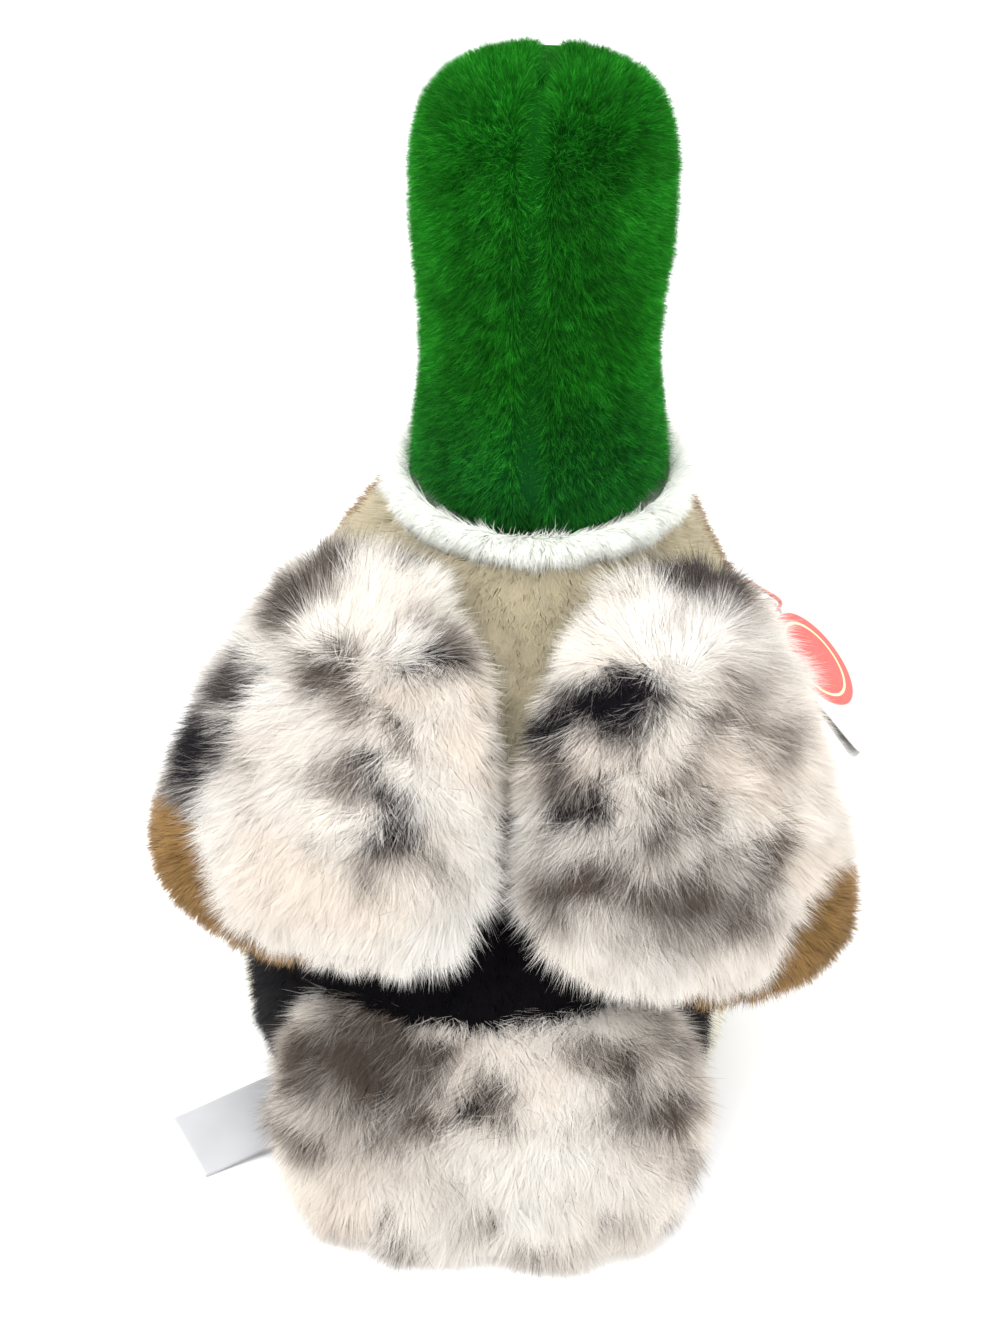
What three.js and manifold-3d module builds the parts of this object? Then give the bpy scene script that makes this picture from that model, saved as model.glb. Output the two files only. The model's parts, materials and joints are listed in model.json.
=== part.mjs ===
// A plush mallard drake that sits upright on its belly, with its neck raised. It is built the way a
// stuffed toy is sewn: panels of pile fabric over fibre filling, a white neck ring that the neck
// swivels in, two padded wings, a padded tail, a felt bill, webbed feet, safety eyes with washers,
// a card tag on a thread loop and a sewn-in fabric label.
// Millimetres, +Z up. The drake faces -Y, +X is its left side, and the origin is the middle of the
// flat face that it sits on.
import * as THREE from 'three';
import { mergeVertices } from 'three/addons/utils/BufferGeometryUtils.js';
import Module from 'manifold-3d';

const wasm = await Module();
wasm.setup();

// Fabric and clearances
const GAP = 0.3;
const PLUSH = 5;
const SEAM_LIP = 1.6;
const FELT = 1.5;
const OVERRUN = 400;
// How far apart two points lie that give a surface its slope, as shares of the surface
const BODY_SLOPE_SHARE = 0.004;
const WING_SLOPE_SHARE = 0.02;
const HALVINGS = 30;
// How a pad falls away towards its rim: the powers of its curve
const PAD_FALL_POWER = 2.4;
const PAD_RIM_POWER = 0.55;

// Body
const BODY_HEIGHT = 174;
const BODY_HALF_WIDTH = 82;
const BODY_BACK = 84;
const BODY_FRONT = 104;
const BODY_SQUARENESS = 2.25;
const BODY_SAG = 11;
// Height, half width, reach behind and reach in front as shares of the sizes above, then how far the
// soft body sags to its left there, as a share of the sag
const BODY_SHARES = [
  [0.0, 0.7, 0.66, 0.5, 0.5],
  [0.025, 0.83, 0.8, 0.62, 0.7],
  [0.1, 0.92, 0.93, 0.78, 0.95],
  [0.24, 0.95, 1.0, 0.92, 1.0],
  [0.42, 0.98, 0.94, 0.99, 0.9],
  [0.58, 0.97, 0.74, 1.0, 0.7],
  [0.74, 0.86, 0.47, 0.97, 0.5],
  [0.88, 0.7, 0.23, 0.9, 0.35],
];
const NECK_SAG_SHARE = 0.1;
const BODY_RINGS = 12;
const BODY_SIDES = 36;
const BODY_INNER_RINGS = 8;
const BODY_INNER_SIDES = 24;

// Panels of the body: the depths of the seams between them, and their heights as shares of its own
const BREAST_SEAM_Y = -46;
const BREAST_HEM_SHARE = 1 / 3;
const RUMP_SEAM_Y = 34;
const RUMP_TOP_SHARE = 0.672;

// Weight bag in the seat
const BAG_RADIUS = 40;
const BAG_HEIGHT = 24;
const BAG_CROWN = 6;
const BAG_Y = -6;
const BAG_SIDES = 24;

// Neck and head, measured from the point that the neck nods about
const NECK_Y = -40;
const NECK_BALL = 38.5;
const NECK_BALL_CUT = 30;
const NECK_SEAT_GAP = 0.5;
const NECK_BALL_RINGS = 4;
const HEAD_HEIGHT = 117;
const HEAD_HALF_WIDTH = 38.5;
const HEAD_BACK = 36;
const HEAD_FRONT = 56;
const HEAD_SQUARENESS = 2;
// Height, half width, reach behind and reach in front, as shares of the four sizes above
const HEAD_SHARES = [
  [0.1, 0.965, 1.03, 0.66],
  [0.24, 0.92, 0.98, 0.63],
  [0.38, 0.93, 0.98, 0.72],
  [0.52, 0.985, 1.0, 0.9],
  [0.66, 1.0, 1.0, 1.0],
  [0.79, 0.985, 0.96, 0.98],
  [0.9, 0.88, 0.82, 0.84],
  [0.97, 0.62, 0.52, 0.58],
  [1.0, 0.3, 0.2, 0.26],
];
const HEAD_RINGS = 13;
const HEAD_SIDES = 28;
const HEAD_INNER_RINGS = 9;
const HEAD_INNER_SIDES = 20;
const HEAD_CORE_SHARE = 0.1;

// Neck ring
const RING_RADIUS = 45;
const RING_HEIGHT = 9.5;
const RING_SIDES = 32;
const RING_STEPS = 5;
const NECK_OVER_RING = 11;

// Bill
const BILL_LENGTH = 42;
const BILL_ROOT = 14;
const BILL_HALF_WIDTH = 17;
const BILL_THICKNESS = 17;
const BILL_LOWER_SHARE = 0.38;
const BILL_LOWER_WIDTH_SHARE = 0.9;
const BILL_HEIGHT_SHARE = 0.58;
const BILL_FACE_SHARE = 0.96;
const BILL_RISE = 3;
const BILL_RINGS = 8;
const BILL_SIDES = 14;
// Distance out, half width and thickness, as shares of the three sizes above
const BILL_SHARES = [
  [0.0, 1.0, 1.0],
  [0.3, 0.92, 0.95],
  [0.55, 0.86, 0.7],
  [0.78, 0.98, 0.56],
  [0.92, 0.88, 0.46],
  [1.0, 0.5, 0.26],
];

// Eyes
const EYE_RADIUS = 5.5;
const EYE_BULGE = 3.4;
const EYE_SHANK_RADIUS = 1.8;
const EYE_SHANK_LENGTH = 12;
const WASHER_RADIUS = 6.5;
const WASHER_THICKNESS = 1.6;
const EYE_HEIGHT_SHARE = 0.74;
const EYE_FORWARD_DEG = 34;
const EYE_SIDES = 16;
const EYE_STEPS = 5;
const EYE_SLOPE_DEG = 2;

// Wings, laid over the body. Each row of the net runs from the spine to the outer edge.
const WING_THICKNESS = 36;
// Height as a share of the body's, angle round the body from the spine in degrees, and the distance
// of the wing's middle from the body as a share of the wing's thickness
const WING_NET = [
  [[0.99, 17, 0.25], [0.96, 51, 0.2], [0.87, 82, 0.22]],
  [[0.74, 3, 0.4], [0.69, 40, 0.58], [0.6, 71, 0.55]],
  [[0.49, 4, 0.45], [0.44, 34, 0.62], [0.45, 62, 1.35]],
];
// How far the two wings lie turned round the body at their upper and lower edges, in degrees, and
// how far they have slipped down it at the lower edge, and further at its inner end than in its
// middle, as shares of its height
const WING_LIE_LEFT = [-3, -8, 0, 0.03];
const WING_LIE_RIGHT = [0, 3, 0.04, -0.012];
const WING_SQUARENESS = 3.8;
const LINING_BULGE_SHARE = 0.3;
const LINING_RISE = 22;
const LINING_FROM_SHARE = 0.88;
const LINING_FADE_SHARE = 0.3;
const WING_SPOKES = 24;
const WING_RINGS = 6;
const WING_INNER_SPOKES = 18;
const WING_INNER_RINGS = 4;
const WING_INSET_SHARE = 0.07;
const WING_SPLIT_SHARE = 1.15;

// Tail, measured along itself from its top seam
const TAIL_LENGTH = 76;
const TAIL_HALF_WIDTH = 66;
const TAIL_THICKNESS = 42;
const TAIL_SQUARENESS = 2.6;
const TAIL_DROP_DEG = 51;
const TAIL_SEAM_SHARE = 0.38;
const TAIL_SAG_SHARE = 0.35;
const TAIL_FLOOR_GAP = 1;
// Distance along the tail, half width and thickness, as shares of the three sizes above
const TAIL_SHARES = [
  [-0.2, 0.7, 0.5],
  [-0.04, 0.84, 0.76],
  [0.16, 0.96, 0.98],
  [0.45, 1.0, 1.0],
  [0.72, 0.9, 0.9],
  [0.9, 0.72, 0.68],
  [1.0, 0.46, 0.3],
];
const TAIL_RINGS = 10;
const TAIL_SIDES = 24;

// Feet
const FOOT_LENGTH = 72;
const FOOT_HALF_WIDTH = 30;
const FOOT_THICKNESS = 12;
const FOOT_APART_SHARE = 0.45;
const FOOT_HEEL_REACH_SHARE = 0.558;
const FOOT_HINGE_IN = 7;
const FOOT_FLEX_DEG = 15;
const FOOT_TOE_OUT_DEG = 10;
const FOOT_HEEL_SHARE = 0.45;
const FOOT_WEB_SHARE = 0.16;
const FOOT_TOES = 3;
const FOOT_TOES_DEG = 60;
const FOOT_TAPER_POWER = 1.5;
const FOOT_CROWN_POWER = 3;
const FOOT_FLOOR_GAP = 0.5;
const FOOT_SAG_SHARE = 0.6;
const FOOT_SPOKES = 36;
const FOOT_RINGS = 3;

// Card tag on its loop, hanging by the drake's right side
const TAG_LENGTH = 56;
const TAG_WIDTH = 40;
const TAG_THICKNESS = 1;
const TAG_LEAN_DEG = 45;
const TAG_SWING_DEG = 23;
const TAG_CORNER = 3;
const TAG_CORNER_STEPS = 4;
const TAG_HOLE = 2;
const TAG_HOLE_IN = 5;
const TAG_HEIGHT_SHARE = 0.64;
const TAG_ROOT_DEG = 118;
const TAG_STANDOFF = 12;
const LOOP_THREAD = 0.6;
const LOOP_REACH = 2.5;
const LOOP_RISE = 11;
const LOOP_STEPS = 30;
const LOOP_SIDES = 6;

// Sewn-in label by the tail's left seam
const LABEL_LENGTH = 44;
const LABEL_WIDTH = 22;
const LABEL_THICKNESS = 1.2;
const LABEL_HEIGHT_SHARE = 0.045;
const LABEL_DROOP_DEG = 3;
const LABEL_SWEEP_DEG = 36;
const LABEL_ROLL_DEG = 22;
const LABEL_ROOT_DEG = 44;

const HALF = 0.5;
const DEG = Math.PI / 180;
const FULL_TURN = 2 * Math.PI;

// Colours of the fabrics, as seen on the toy
const cloth = (color, roughness = 0.95) => new THREE.MeshStandardMaterial({ color, roughness, metalness: 0 });
const GREEN_PILE = cloth(0x0d7a1c);
const WHITE_PILE = cloth(0xf3f3ec);
const TAUPE_PILE = cloth(0xb4aa98);
const BLACK_PILE = cloth(0x0c0a0d);
const CAMEL_PILE = cloth(0xb0854f);
const CREAM_PILE = cloth(0xe6e0d2);
const MARBLED_PILE = cloth(0xd8cec5);
const FIBRE_FILL = cloth(0xf5f5f2, 1);
const PELLET_CLOTH = cloth(0xd9d6cc);
const YELLOW_FELT = cloth(0xc9a33c);
const ORANGE_FELT = cloth(0xd9772a);
const BLACK_PLASTIC = new THREE.MeshStandardMaterial({ color: 0x080808, roughness: 0.15, metalness: 0 });
const NATURAL_PLASTIC = new THREE.MeshStandardMaterial({ color: 0xe8e8e4, roughness: 0.5, metalness: 0 });
const WHITE_CARD = new THREE.MeshStandardMaterial({ color: 0xf6f3ee, roughness: 0.6, metalness: 0 });
const RED_THREAD = cloth(0xb5251f, 0.8);
const SATIN_RIBBON = new THREE.MeshStandardMaterial({ color: 0xeceef0, roughness: 0.4, metalness: 0 });

// Solids and meshes

function toSolid(geometry) {
  const bare = geometry.index ? geometry.toNonIndexed() : geometry.clone();
  bare.deleteAttribute('normal');
  bare.deleteAttribute('uv');
  const merged = mergeVertices(bare, 1e-4);
  return new wasm.Manifold(new wasm.Mesh({
    numProp: 3,
    vertProperties: new Float32Array(merged.attributes.position.array),
    triVerts: new Uint32Array(merged.index.array),
  }));
}

// The largest body of a solid, as a geometry without the slivers that cuts leave.
function toGeometry(solid) {
  const largest = solid.decompose().reduce((a, b) => (a.volume() > b.volume() ? a : b));
  const { vertProperties, triVerts, numProp } = largest.getMesh();
  const points = [];
  for (let i = 0; i < vertProperties.length; i += numProp) {
    points.push(vertProperties[i], vertProperties[i + 1], vertProperties[i + 2]);
  }
  const geometry = new THREE.BufferGeometry();
  geometry.setAttribute('position', new THREE.Float32BufferAttribute(points, 3));
  geometry.setIndex([...triVerts]);
  geometry.computeVertexNormals();
  return geometry;
}

function named(name, solidOrGeometry, material) {
  const geometry = solidOrGeometry.isBufferGeometry ? solidOrGeometry : toGeometry(solidOrGeometry);
  const mesh = new THREE.Mesh(geometry, material);
  mesh.name = name;
  return mesh;
}

function moved(solid, matrix) {
  return solid.transform(matrix.elements);
}

// A box between two corners.
function block(low, high) {
  const size = high.map((h, k) => h - low[k]);
  const box = new THREE.BoxGeometry(...size);
  box.translate(...low.map((l, k) => l + size[k] * HALF));
  return toSolid(box);
}

// A closed body from rings of points: each ring has as many points, and the ends are capped by fans.
function lofted(rings) {
  const sides = rings[0].length;
  const points = rings.flat();
  const faces = [];
  for (let r = 0; r + 1 < rings.length; r += 1) {
    for (let s = 0; s < sides; s += 1) {
      const a = r * sides + s;
      const b = r * sides + (s + 1) % sides;
      faces.push(a, b, a + sides, b, b + sides, a + sides);
    }
  }
  const capped = (ring, first, flip) => {
    const middle = ring.reduce((sum, p) => sum.add(p), new THREE.Vector3()).divideScalar(sides);
    points.push(middle);
    const centre = points.length - 1;
    for (let s = 0; s < sides; s += 1) {
      const a = first + s;
      const b = first + (s + 1) % sides;
      faces.push(centre, flip ? b : a, flip ? a : b);
    }
  };
  capped(rings[0], 0, true);
  capped(rings[rings.length - 1], (rings.length - 1) * sides, false);
  const geometry = new THREE.BufferGeometry();
  const numbers = points.flatMap((p) => [p.x, p.y, p.z]);
  geometry.setAttribute('position', new THREE.Float32BufferAttribute(numbers, 3));
  geometry.setIndex(faces);
  return geometry;
}

// A smooth value at t from 0 to 1 along rows of numbers.
function along(rows, t) {
  const place = t * (rows.length - 1);
  const i = Math.min(Math.floor(place), rows.length - 2);
  const f = place - i;
  const row = (k) => rows[Math.min(Math.max(k, 0), rows.length - 1)];
  const [p0, p1, p2, p3] = [row(i - 1), row(i), row(i + 1), row(i + 2)];
  return p1.map((_, k) => {
    const slope1 = (p2[k] - p0[k]) * HALF;
    const slope2 = (p3[k] - p1[k]) * HALF;
    const rise = p2[k] - p1[k];
    return p1[k] + f * (slope1 + f * (3 * rise - 2 * slope1 - slope2 + f * (slope1 + slope2 - 2 * rise)));
  });
}

function rounded(value, squareness) {
  return Math.sign(value) * Math.abs(value) ** (2 / squareness);
}

// A point of a level section: angle 0 is straight back, and a quarter turn is the left side.
function sectionPoint([z, halfWidth, back, front, aside], angle, squareness, out = 0) {
  const middle = (back - front) * HALF;
  const depth = (back + front) * HALF;
  return new THREE.Vector3(
    aside + (halfWidth + out) * rounded(Math.sin(angle), squareness),
    middle + (depth + out) * rounded(Math.cos(angle), squareness),
    z,
  );
}

function sectionRing(row, sides, squareness, out) {
  return Array.from({ length: sides }, (_, s) => {
    const angle = -(s / sides) * FULL_TURN;
    return sectionPoint(row, angle, squareness, out);
  });
}

// Body

const bodyRows = BODY_SHARES.map(([h, w, b, f, aside]) => [
  h * BODY_HEIGHT, w * BODY_HALF_WIDTH, b * BODY_BACK, f * BODY_FRONT, aside * BODY_SAG,
]);
bodyRows.push([
  BODY_HEIGHT, RING_RADIUS, NECK_Y + RING_RADIUS, RING_RADIUS - NECK_Y, NECK_SAG_SHARE * BODY_SAG,
]);

// The row's heights are moved in by the offset at both ends, and the section all round.
function bodyForm(out, rings, sides) {
  const grown = Array.from({ length: rings + 1 }, (_, r) => {
    const row = along(bodyRows, r / rings);
    const stretch = row[0] / BODY_HEIGHT;
    row[0] += out * (2 * stretch - 1);
    return sectionRing(row, sides, BODY_SQUARENESS, out);
  });
  return toSolid(lofted(grown));
}

function bodyRowAt(height) {
  let low = 0;
  let high = 1;
  for (let halving = 0; halving < HALVINGS; halving += 1) {
    const mid = (low + high) * HALF;
    if (along(bodyRows, mid)[0] < height) low = mid;
    else high = mid;
  }
  return along(bodyRows, low);
}

function bodyPoint(height, angle) {
  return sectionPoint(bodyRowAt(height), angle, BODY_SQUARENESS);
}

// The outward direction of the body's surface, from two short steps along it.
function bodyNormal(height, angle) {
  const step = BODY_SLOPE_SHARE;
  const rise = bodyPoint(height + step * BODY_HEIGHT, angle).sub(bodyPoint(height - step * BODY_HEIGHT, angle));
  const round = bodyPoint(height, angle + step).sub(bodyPoint(height, angle - step));
  return rise.cross(round).normalize();
}

const bodyOuter = bodyForm(0, BODY_RINGS, BODY_SIDES);
const bodyCavity = bodyForm(-PLUSH, BODY_INNER_RINGS, BODY_INNER_SIDES);
const bodyFill = bodyForm(-PLUSH - GAP, BODY_INNER_RINGS, BODY_INNER_SIDES);
const bodyClear = bodyForm(GAP, BODY_RINGS, BODY_SIDES);
const liningBack = bodyForm(PLUSH, BODY_RINGS, BODY_SIDES);
const liningClear = bodyForm(PLUSH + GAP, BODY_RINGS, BODY_SIDES);

const neckPivot = new THREE.Vector3(0, NECK_Y, BODY_HEIGHT + GAP + RING_HEIGHT + NECK_OVER_RING);
const seat = toSolid(new THREE.SphereGeometry(NECK_BALL + NECK_SEAT_GAP, RING_SIDES, RING_SIDES * HALF));
const bodySeat = moved(seat, new THREE.Matrix4().makeRotationX(Math.PI * HALF).setPosition(neckPivot));

function bodyPanel(name, regions, material) {
  const region = regions.map(([low, high]) => block(low, high)).reduce((a, b) => a.add(b));
  return named(name, bodyOuter.subtract(bodyCavity).subtract(bodySeat).intersect(region), material);
}

const edge = GAP * HALF;
const FAR = OVERRUN;
const breastHem = BREAST_HEM_SHARE * BODY_HEIGHT;
const rumpTop = RUMP_TOP_SHARE * BODY_HEIGHT;
const body = new THREE.Group();
body.add(
  bodyPanel('back_panel', [
    [[-FAR, BREAST_SEAM_Y + edge, rumpTop + edge], [FAR, FAR, FAR]],
  ], TAUPE_PILE),
  bodyPanel('rump_panel', [
    [[-FAR, RUMP_SEAM_Y + edge, -FAR], [FAR, FAR, rumpTop - edge]],
  ], BLACK_PILE),
  bodyPanel('breast_panel', [
    [[-FAR, -FAR, breastHem + edge], [FAR, BREAST_SEAM_Y - edge, FAR]],
  ], CAMEL_PILE),
  bodyPanel('belly_panel', [
    [[-FAR, BREAST_SEAM_Y + edge, -FAR], [FAR, RUMP_SEAM_Y - edge, rumpTop - edge]],
    [[-FAR, -FAR, -FAR], [FAR, BREAST_SEAM_Y + 2 * edge, breastHem - edge]],
  ], CREAM_PILE),
);

// The weight bag lies on the seat panel, in a pocket of the filling that is open below.
function bagForm(out) {
  const profile = [
    new THREE.Vector2(0, -out),
    new THREE.Vector2(BAG_RADIUS - BAG_CROWN + out, -out),
    new THREE.Vector2(BAG_RADIUS + out, BAG_CROWN),
    new THREE.Vector2(BAG_RADIUS + out, BAG_HEIGHT - BAG_CROWN),
    new THREE.Vector2(BAG_RADIUS - BAG_CROWN + out, BAG_HEIGHT + out),
    new THREE.Vector2(0, BAG_HEIGHT + BAG_CROWN * HALF + out),
  ];
  const bag = new THREE.LatheGeometry(profile, BAG_SIDES);
  bag.rotateX(Math.PI * HALF);
  bag.translate(0, BAG_Y, PLUSH + GAP);
  return toSolid(bag);
}
body.add(
  named('pellet_bag', bagForm(0), PELLET_CLOTH),
  named('body_filling', bodyFill.subtract(bodySeat).subtract(bagForm(GAP)), FIBRE_FILL),
);

// Neck ring, which turns on the body's top with the neck in it

const ring = new THREE.Group();
ring.position.set(0, NECK_Y, BODY_HEIGHT + GAP);
const seatRadius = NECK_BALL + NECK_SEAT_GAP;
const ringInner = (z) => Math.sqrt(seatRadius ** 2 - (RING_HEIGHT + NECK_OVER_RING - z) ** 2) + GAP;
const ringProfile = [];
for (let k = 0; k <= RING_STEPS; k += 1) {
  const z = RING_HEIGHT * (1 - k / RING_STEPS);
  ringProfile.push(new THREE.Vector2(ringInner(z), z));
}
const rollRadius = RING_HEIGHT * HALF;
for (let k = 0; k <= RING_STEPS; k += 1) {
  const turn = (k / RING_STEPS - HALF) * Math.PI;
  ringProfile.push(new THREE.Vector2(
    RING_RADIUS - rollRadius + rollRadius * Math.cos(turn),
    rollRadius + rollRadius * Math.sin(turn),
  ));
}
ringProfile.push(ringProfile[0].clone());
const ringShape = new THREE.LatheGeometry(ringProfile, RING_SIDES);
ringShape.rotateX(Math.PI * HALF);
ring.add(named('neck_ring', toSolid(ringShape), WHITE_PILE));

// Neck and head, in a group at the point that the neck nods about

const head = new THREE.Group();
head.position.copy(neckPivot);
const headRows = [];
for (let k = 0; k < NECK_BALL_RINGS; k += 1) {
  const z = -NECK_BALL_CUT * (1 - k / NECK_BALL_RINGS);
  const r = Math.sqrt(NECK_BALL ** 2 - z ** 2);
  headRows.push([z, r, r, r, 0]);
}
HEAD_SHARES.forEach(([h, w, b, f]) => {
  headRows.push([h * HEAD_HEIGHT, w * HEAD_HALF_WIDTH, b * HEAD_BACK, f * HEAD_FRONT, 0]);
});

function headForm(out, rings, sides) {
  const low = headRows[0][0];
  const high = headRows[headRows.length - 1][0];
  const grown = Array.from({ length: rings + 1 }, (_, r) => {
    const row = along(headRows, r / rings);
    row[0] += out * ((2 * (row[0] - low)) / (high - low) - 1);
    return sectionRing(row, sides, HEAD_SQUARENESS, Math.max(out, -row[1] * (1 - HEAD_CORE_SHARE)));
  });
  return toSolid(lofted(grown));
}

const headOuter = headForm(0, HEAD_RINGS, HEAD_SIDES);
const headCavity = headForm(-PLUSH, HEAD_INNER_RINGS, HEAD_INNER_SIDES);
const headFill = headForm(-PLUSH - GAP, HEAD_INNER_RINGS, HEAD_INNER_SIDES);
const headClear = headForm(GAP, HEAD_RINGS, HEAD_SIDES);

// An eye's place: on the surface at its height, turned forward from the side.
function eyeFrame(side) {
  const heights = headRows.map((row) => row[0]);
  const eyeZ = EYE_HEIGHT_SHARE * HEAD_HEIGHT;
  const above = heights.findIndex((z) => z > eyeZ);
  const f = (eyeZ - heights[above - 1]) / (heights[above] - heights[above - 1]);
  const row = along(headRows, (above - 1 + f) / (headRows.length - 1));
  const angle = side * (90 + EYE_FORWARD_DEG) * DEG;
  const step = EYE_SLOPE_DEG * DEG;
  const place = sectionPoint(row, angle, HEAD_SQUARENESS);
  const tangent = sectionPoint(row, angle + step, HEAD_SQUARENESS)
    .sub(sectionPoint(row, angle - step, HEAD_SQUARENESS));
  const outward = new THREE.Vector3(tangent.y, -tangent.x, 0).normalize();
  if (outward.x * side < 0) outward.negate();
  const turn = new THREE.Quaternion().setFromUnitVectors(new THREE.Vector3(0, 0, 1), outward);
  return { place, turn, matrix: new THREE.Matrix4().compose(place, turn, new THREE.Vector3(1, 1, 1)) };
}

function eyeShape(out) {
  const profile = [new THREE.Vector2(0, -EYE_SHANK_LENGTH - out)];
  profile.push(new THREE.Vector2(EYE_SHANK_RADIUS + out, -EYE_SHANK_LENGTH - out));
  profile.push(new THREE.Vector2(EYE_SHANK_RADIUS + out, -out));
  for (let k = 0; k < EYE_STEPS; k += 1) {
    const turn = (k / EYE_STEPS) * Math.PI * HALF;
    const rim = k ? out : -out;
    profile.push(new THREE.Vector2((EYE_RADIUS + out) * Math.cos(turn), EYE_BULGE * Math.sin(turn) + rim));
  }
  profile.push(new THREE.Vector2(0, EYE_BULGE + out));
  const eye = new THREE.LatheGeometry(profile, EYE_SIDES);
  eye.rotateX(Math.PI * HALF);
  return eye;
}

function washerShape(out) {
  const inner = EYE_SHANK_RADIUS + GAP - out;
  const outer = WASHER_RADIUS + out;
  const high = -PLUSH - GAP + out;
  const low = -PLUSH - GAP - WASHER_THICKNESS - out;
  const profile = [[inner, high], [inner, low], [outer, low], [outer, high], [inner, high]];
  const washer = new THREE.LatheGeometry(profile.map(([r, z]) => new THREE.Vector2(r, z)), EYE_SIDES);
  washer.rotateX(Math.PI * HALF);
  return washer;
}

function cutterRod(radius, low, high) {
  const rod = new THREE.CylinderGeometry(radius, radius, high - low, EYE_SIDES);
  rod.rotateX(Math.PI * HALF);
  rod.translate(0, 0, (high + low) * HALF);
  return toSolid(rod);
}

let headSkin = headOuter.subtract(headCavity);
let headFilling = headFill;
const eyes = [['left', 1], ['right', -1]].map(([sideName, side]) => {
  const frame = eyeFrame(side);
  const eyeHole = cutterRod(EYE_SHANK_RADIUS + GAP, -EYE_SHANK_LENGTH - GAP, EYE_BULGE);
  const eyeDish = cutterRod(EYE_RADIUS + GAP, -GAP, EYE_BULGE + PLUSH);
  const washerPocket = cutterRod(WASHER_RADIUS + GAP, -PLUSH - WASHER_THICKNESS - 2 * GAP, -PLUSH + GAP);
  headSkin = headSkin.subtract(moved(eyeHole.add(eyeDish).add(washerPocket), frame.matrix));
  headFilling = headFilling.subtract(moved(eyeHole.add(washerPocket), frame.matrix));
  const eye = new THREE.Group();
  eye.position.copy(frame.place);
  eye.quaternion.copy(frame.turn);
  eye.add(
    named(`eye_${sideName}`, toSolid(eyeShape(0)), BLACK_PLASTIC),
    named(`eye_washer_${sideName}`, toSolid(washerShape(0)), NATURAL_PLASTIC),
  );
  return eye;
});
head.add(
  ...eyes,
  named('head_panel_left', headSkin.intersect(block([edge, -FAR, -FAR], [FAR, FAR, FAR])), GREEN_PILE),
  named('head_panel_right', headSkin.intersect(block([-FAR, -FAR, -FAR], [-edge, FAR, FAR])), GREEN_PILE),
  named('head_filling', headFilling, FIBRE_FILL),
);

// A padded body between two heights over a middle surface. at(u, v) gives that surface's point and
// normal for u and v from -1 to 1, outline(angle) the rim's u and v, and side which way is out.
function padBody({ at, outline, spokes, rings, side = 1 }, low, high, grow = 1) {
  const under = side > 0 ? low : (...place) => -high(...place);
  const over = side > 0 ? high : (...place) => -low(...place);
  const ringAt = (share, height) => Array.from({ length: spokes }, (_, s) => {
    const [u, v] = outline((s / spokes) * FULL_TURN).map((x) => x * share);
    const { point, normal } = at(u * grow, v * grow);
    return point.addScaledVector(normal, height(share, u, v));
  });
  const shares = Array.from({ length: rings }, (_, r) => Math.sin(((r + 1) / rings) * Math.PI * HALF));
  const rows = shares.map((share) => ringAt(share, under));
  shares.reverse().forEach((share) => rows.push(ringAt(share, over)));
  return toSolid(lofted(rows));
}

const fullPad = (share) => (1 - share ** PAD_FALL_POWER) ** PAD_RIM_POWER;
const lowerCorner = (u, v) => Math.min(Math.max((u + v - LINING_FROM_SHARE) / LINING_FADE_SHARE, 0), 1);

// Wings

const wingRim = (angle) => {
  const c = rounded(Math.cos(angle), WING_SQUARENESS);
  const s = rounded(Math.sin(angle), WING_SQUARENESS);
  return [c, s];
};

// A point of the wing's middle surface, which runs through the net of nine places over the body.
function wingMiddle(u, v, side, [upperTurn, lowerTurn, slip, slant]) {
  const weight = (t) => [t * (t - 1) * HALF, 1 - t * t, t * (t + 1) * HALF];
  const across = weight(u);
  const down = weight(v);
  const point = new THREE.Vector3();
  WING_NET.forEach((row, i) => row.forEach(([share, angleDeg, out], j) => {
    const lie = i / (WING_NET.length - 1);
    const angle = side * (angleDeg + upperTurn * (1 - lie) + lowerTurn * lie) * DEG;
    const height = (share - (slip + slant * (1 - j)) * lie) * BODY_HEIGHT;
    const onBody = bodyPoint(height, angle);
    onBody.addScaledVector(bodyNormal(height, angle), out * WING_THICKNESS);
    point.addScaledVector(onBody, down[i] * across[j]);
  }));
  return point;
}

function wingAt(side, lie) {
  return (u, v) => {
    const step = WING_SLOPE_SHARE;
    const acrossStep = wingMiddle(u + step, v, side, lie).sub(wingMiddle(u - step, v, side, lie));
    const downStep = wingMiddle(u, v + step, side, lie).sub(wingMiddle(u, v - step, side, lie));
    return { point: wingMiddle(u, v, side, lie), normal: acrossStep.cross(downStep).normalize() };
  };
}

// How high the pad stands over its middle surface, out or in, and the seam between its two panels
const wingHeight = (half, lip, bulge) => (share, u, v) => (
  lip + half * fullPad(share) * (1 + bulge * lowerCorner(u, v))
);
const wingSeam = (shift) => (share, u, v) => LINING_RISE * lowerCorner(u, v) + shift;

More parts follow.
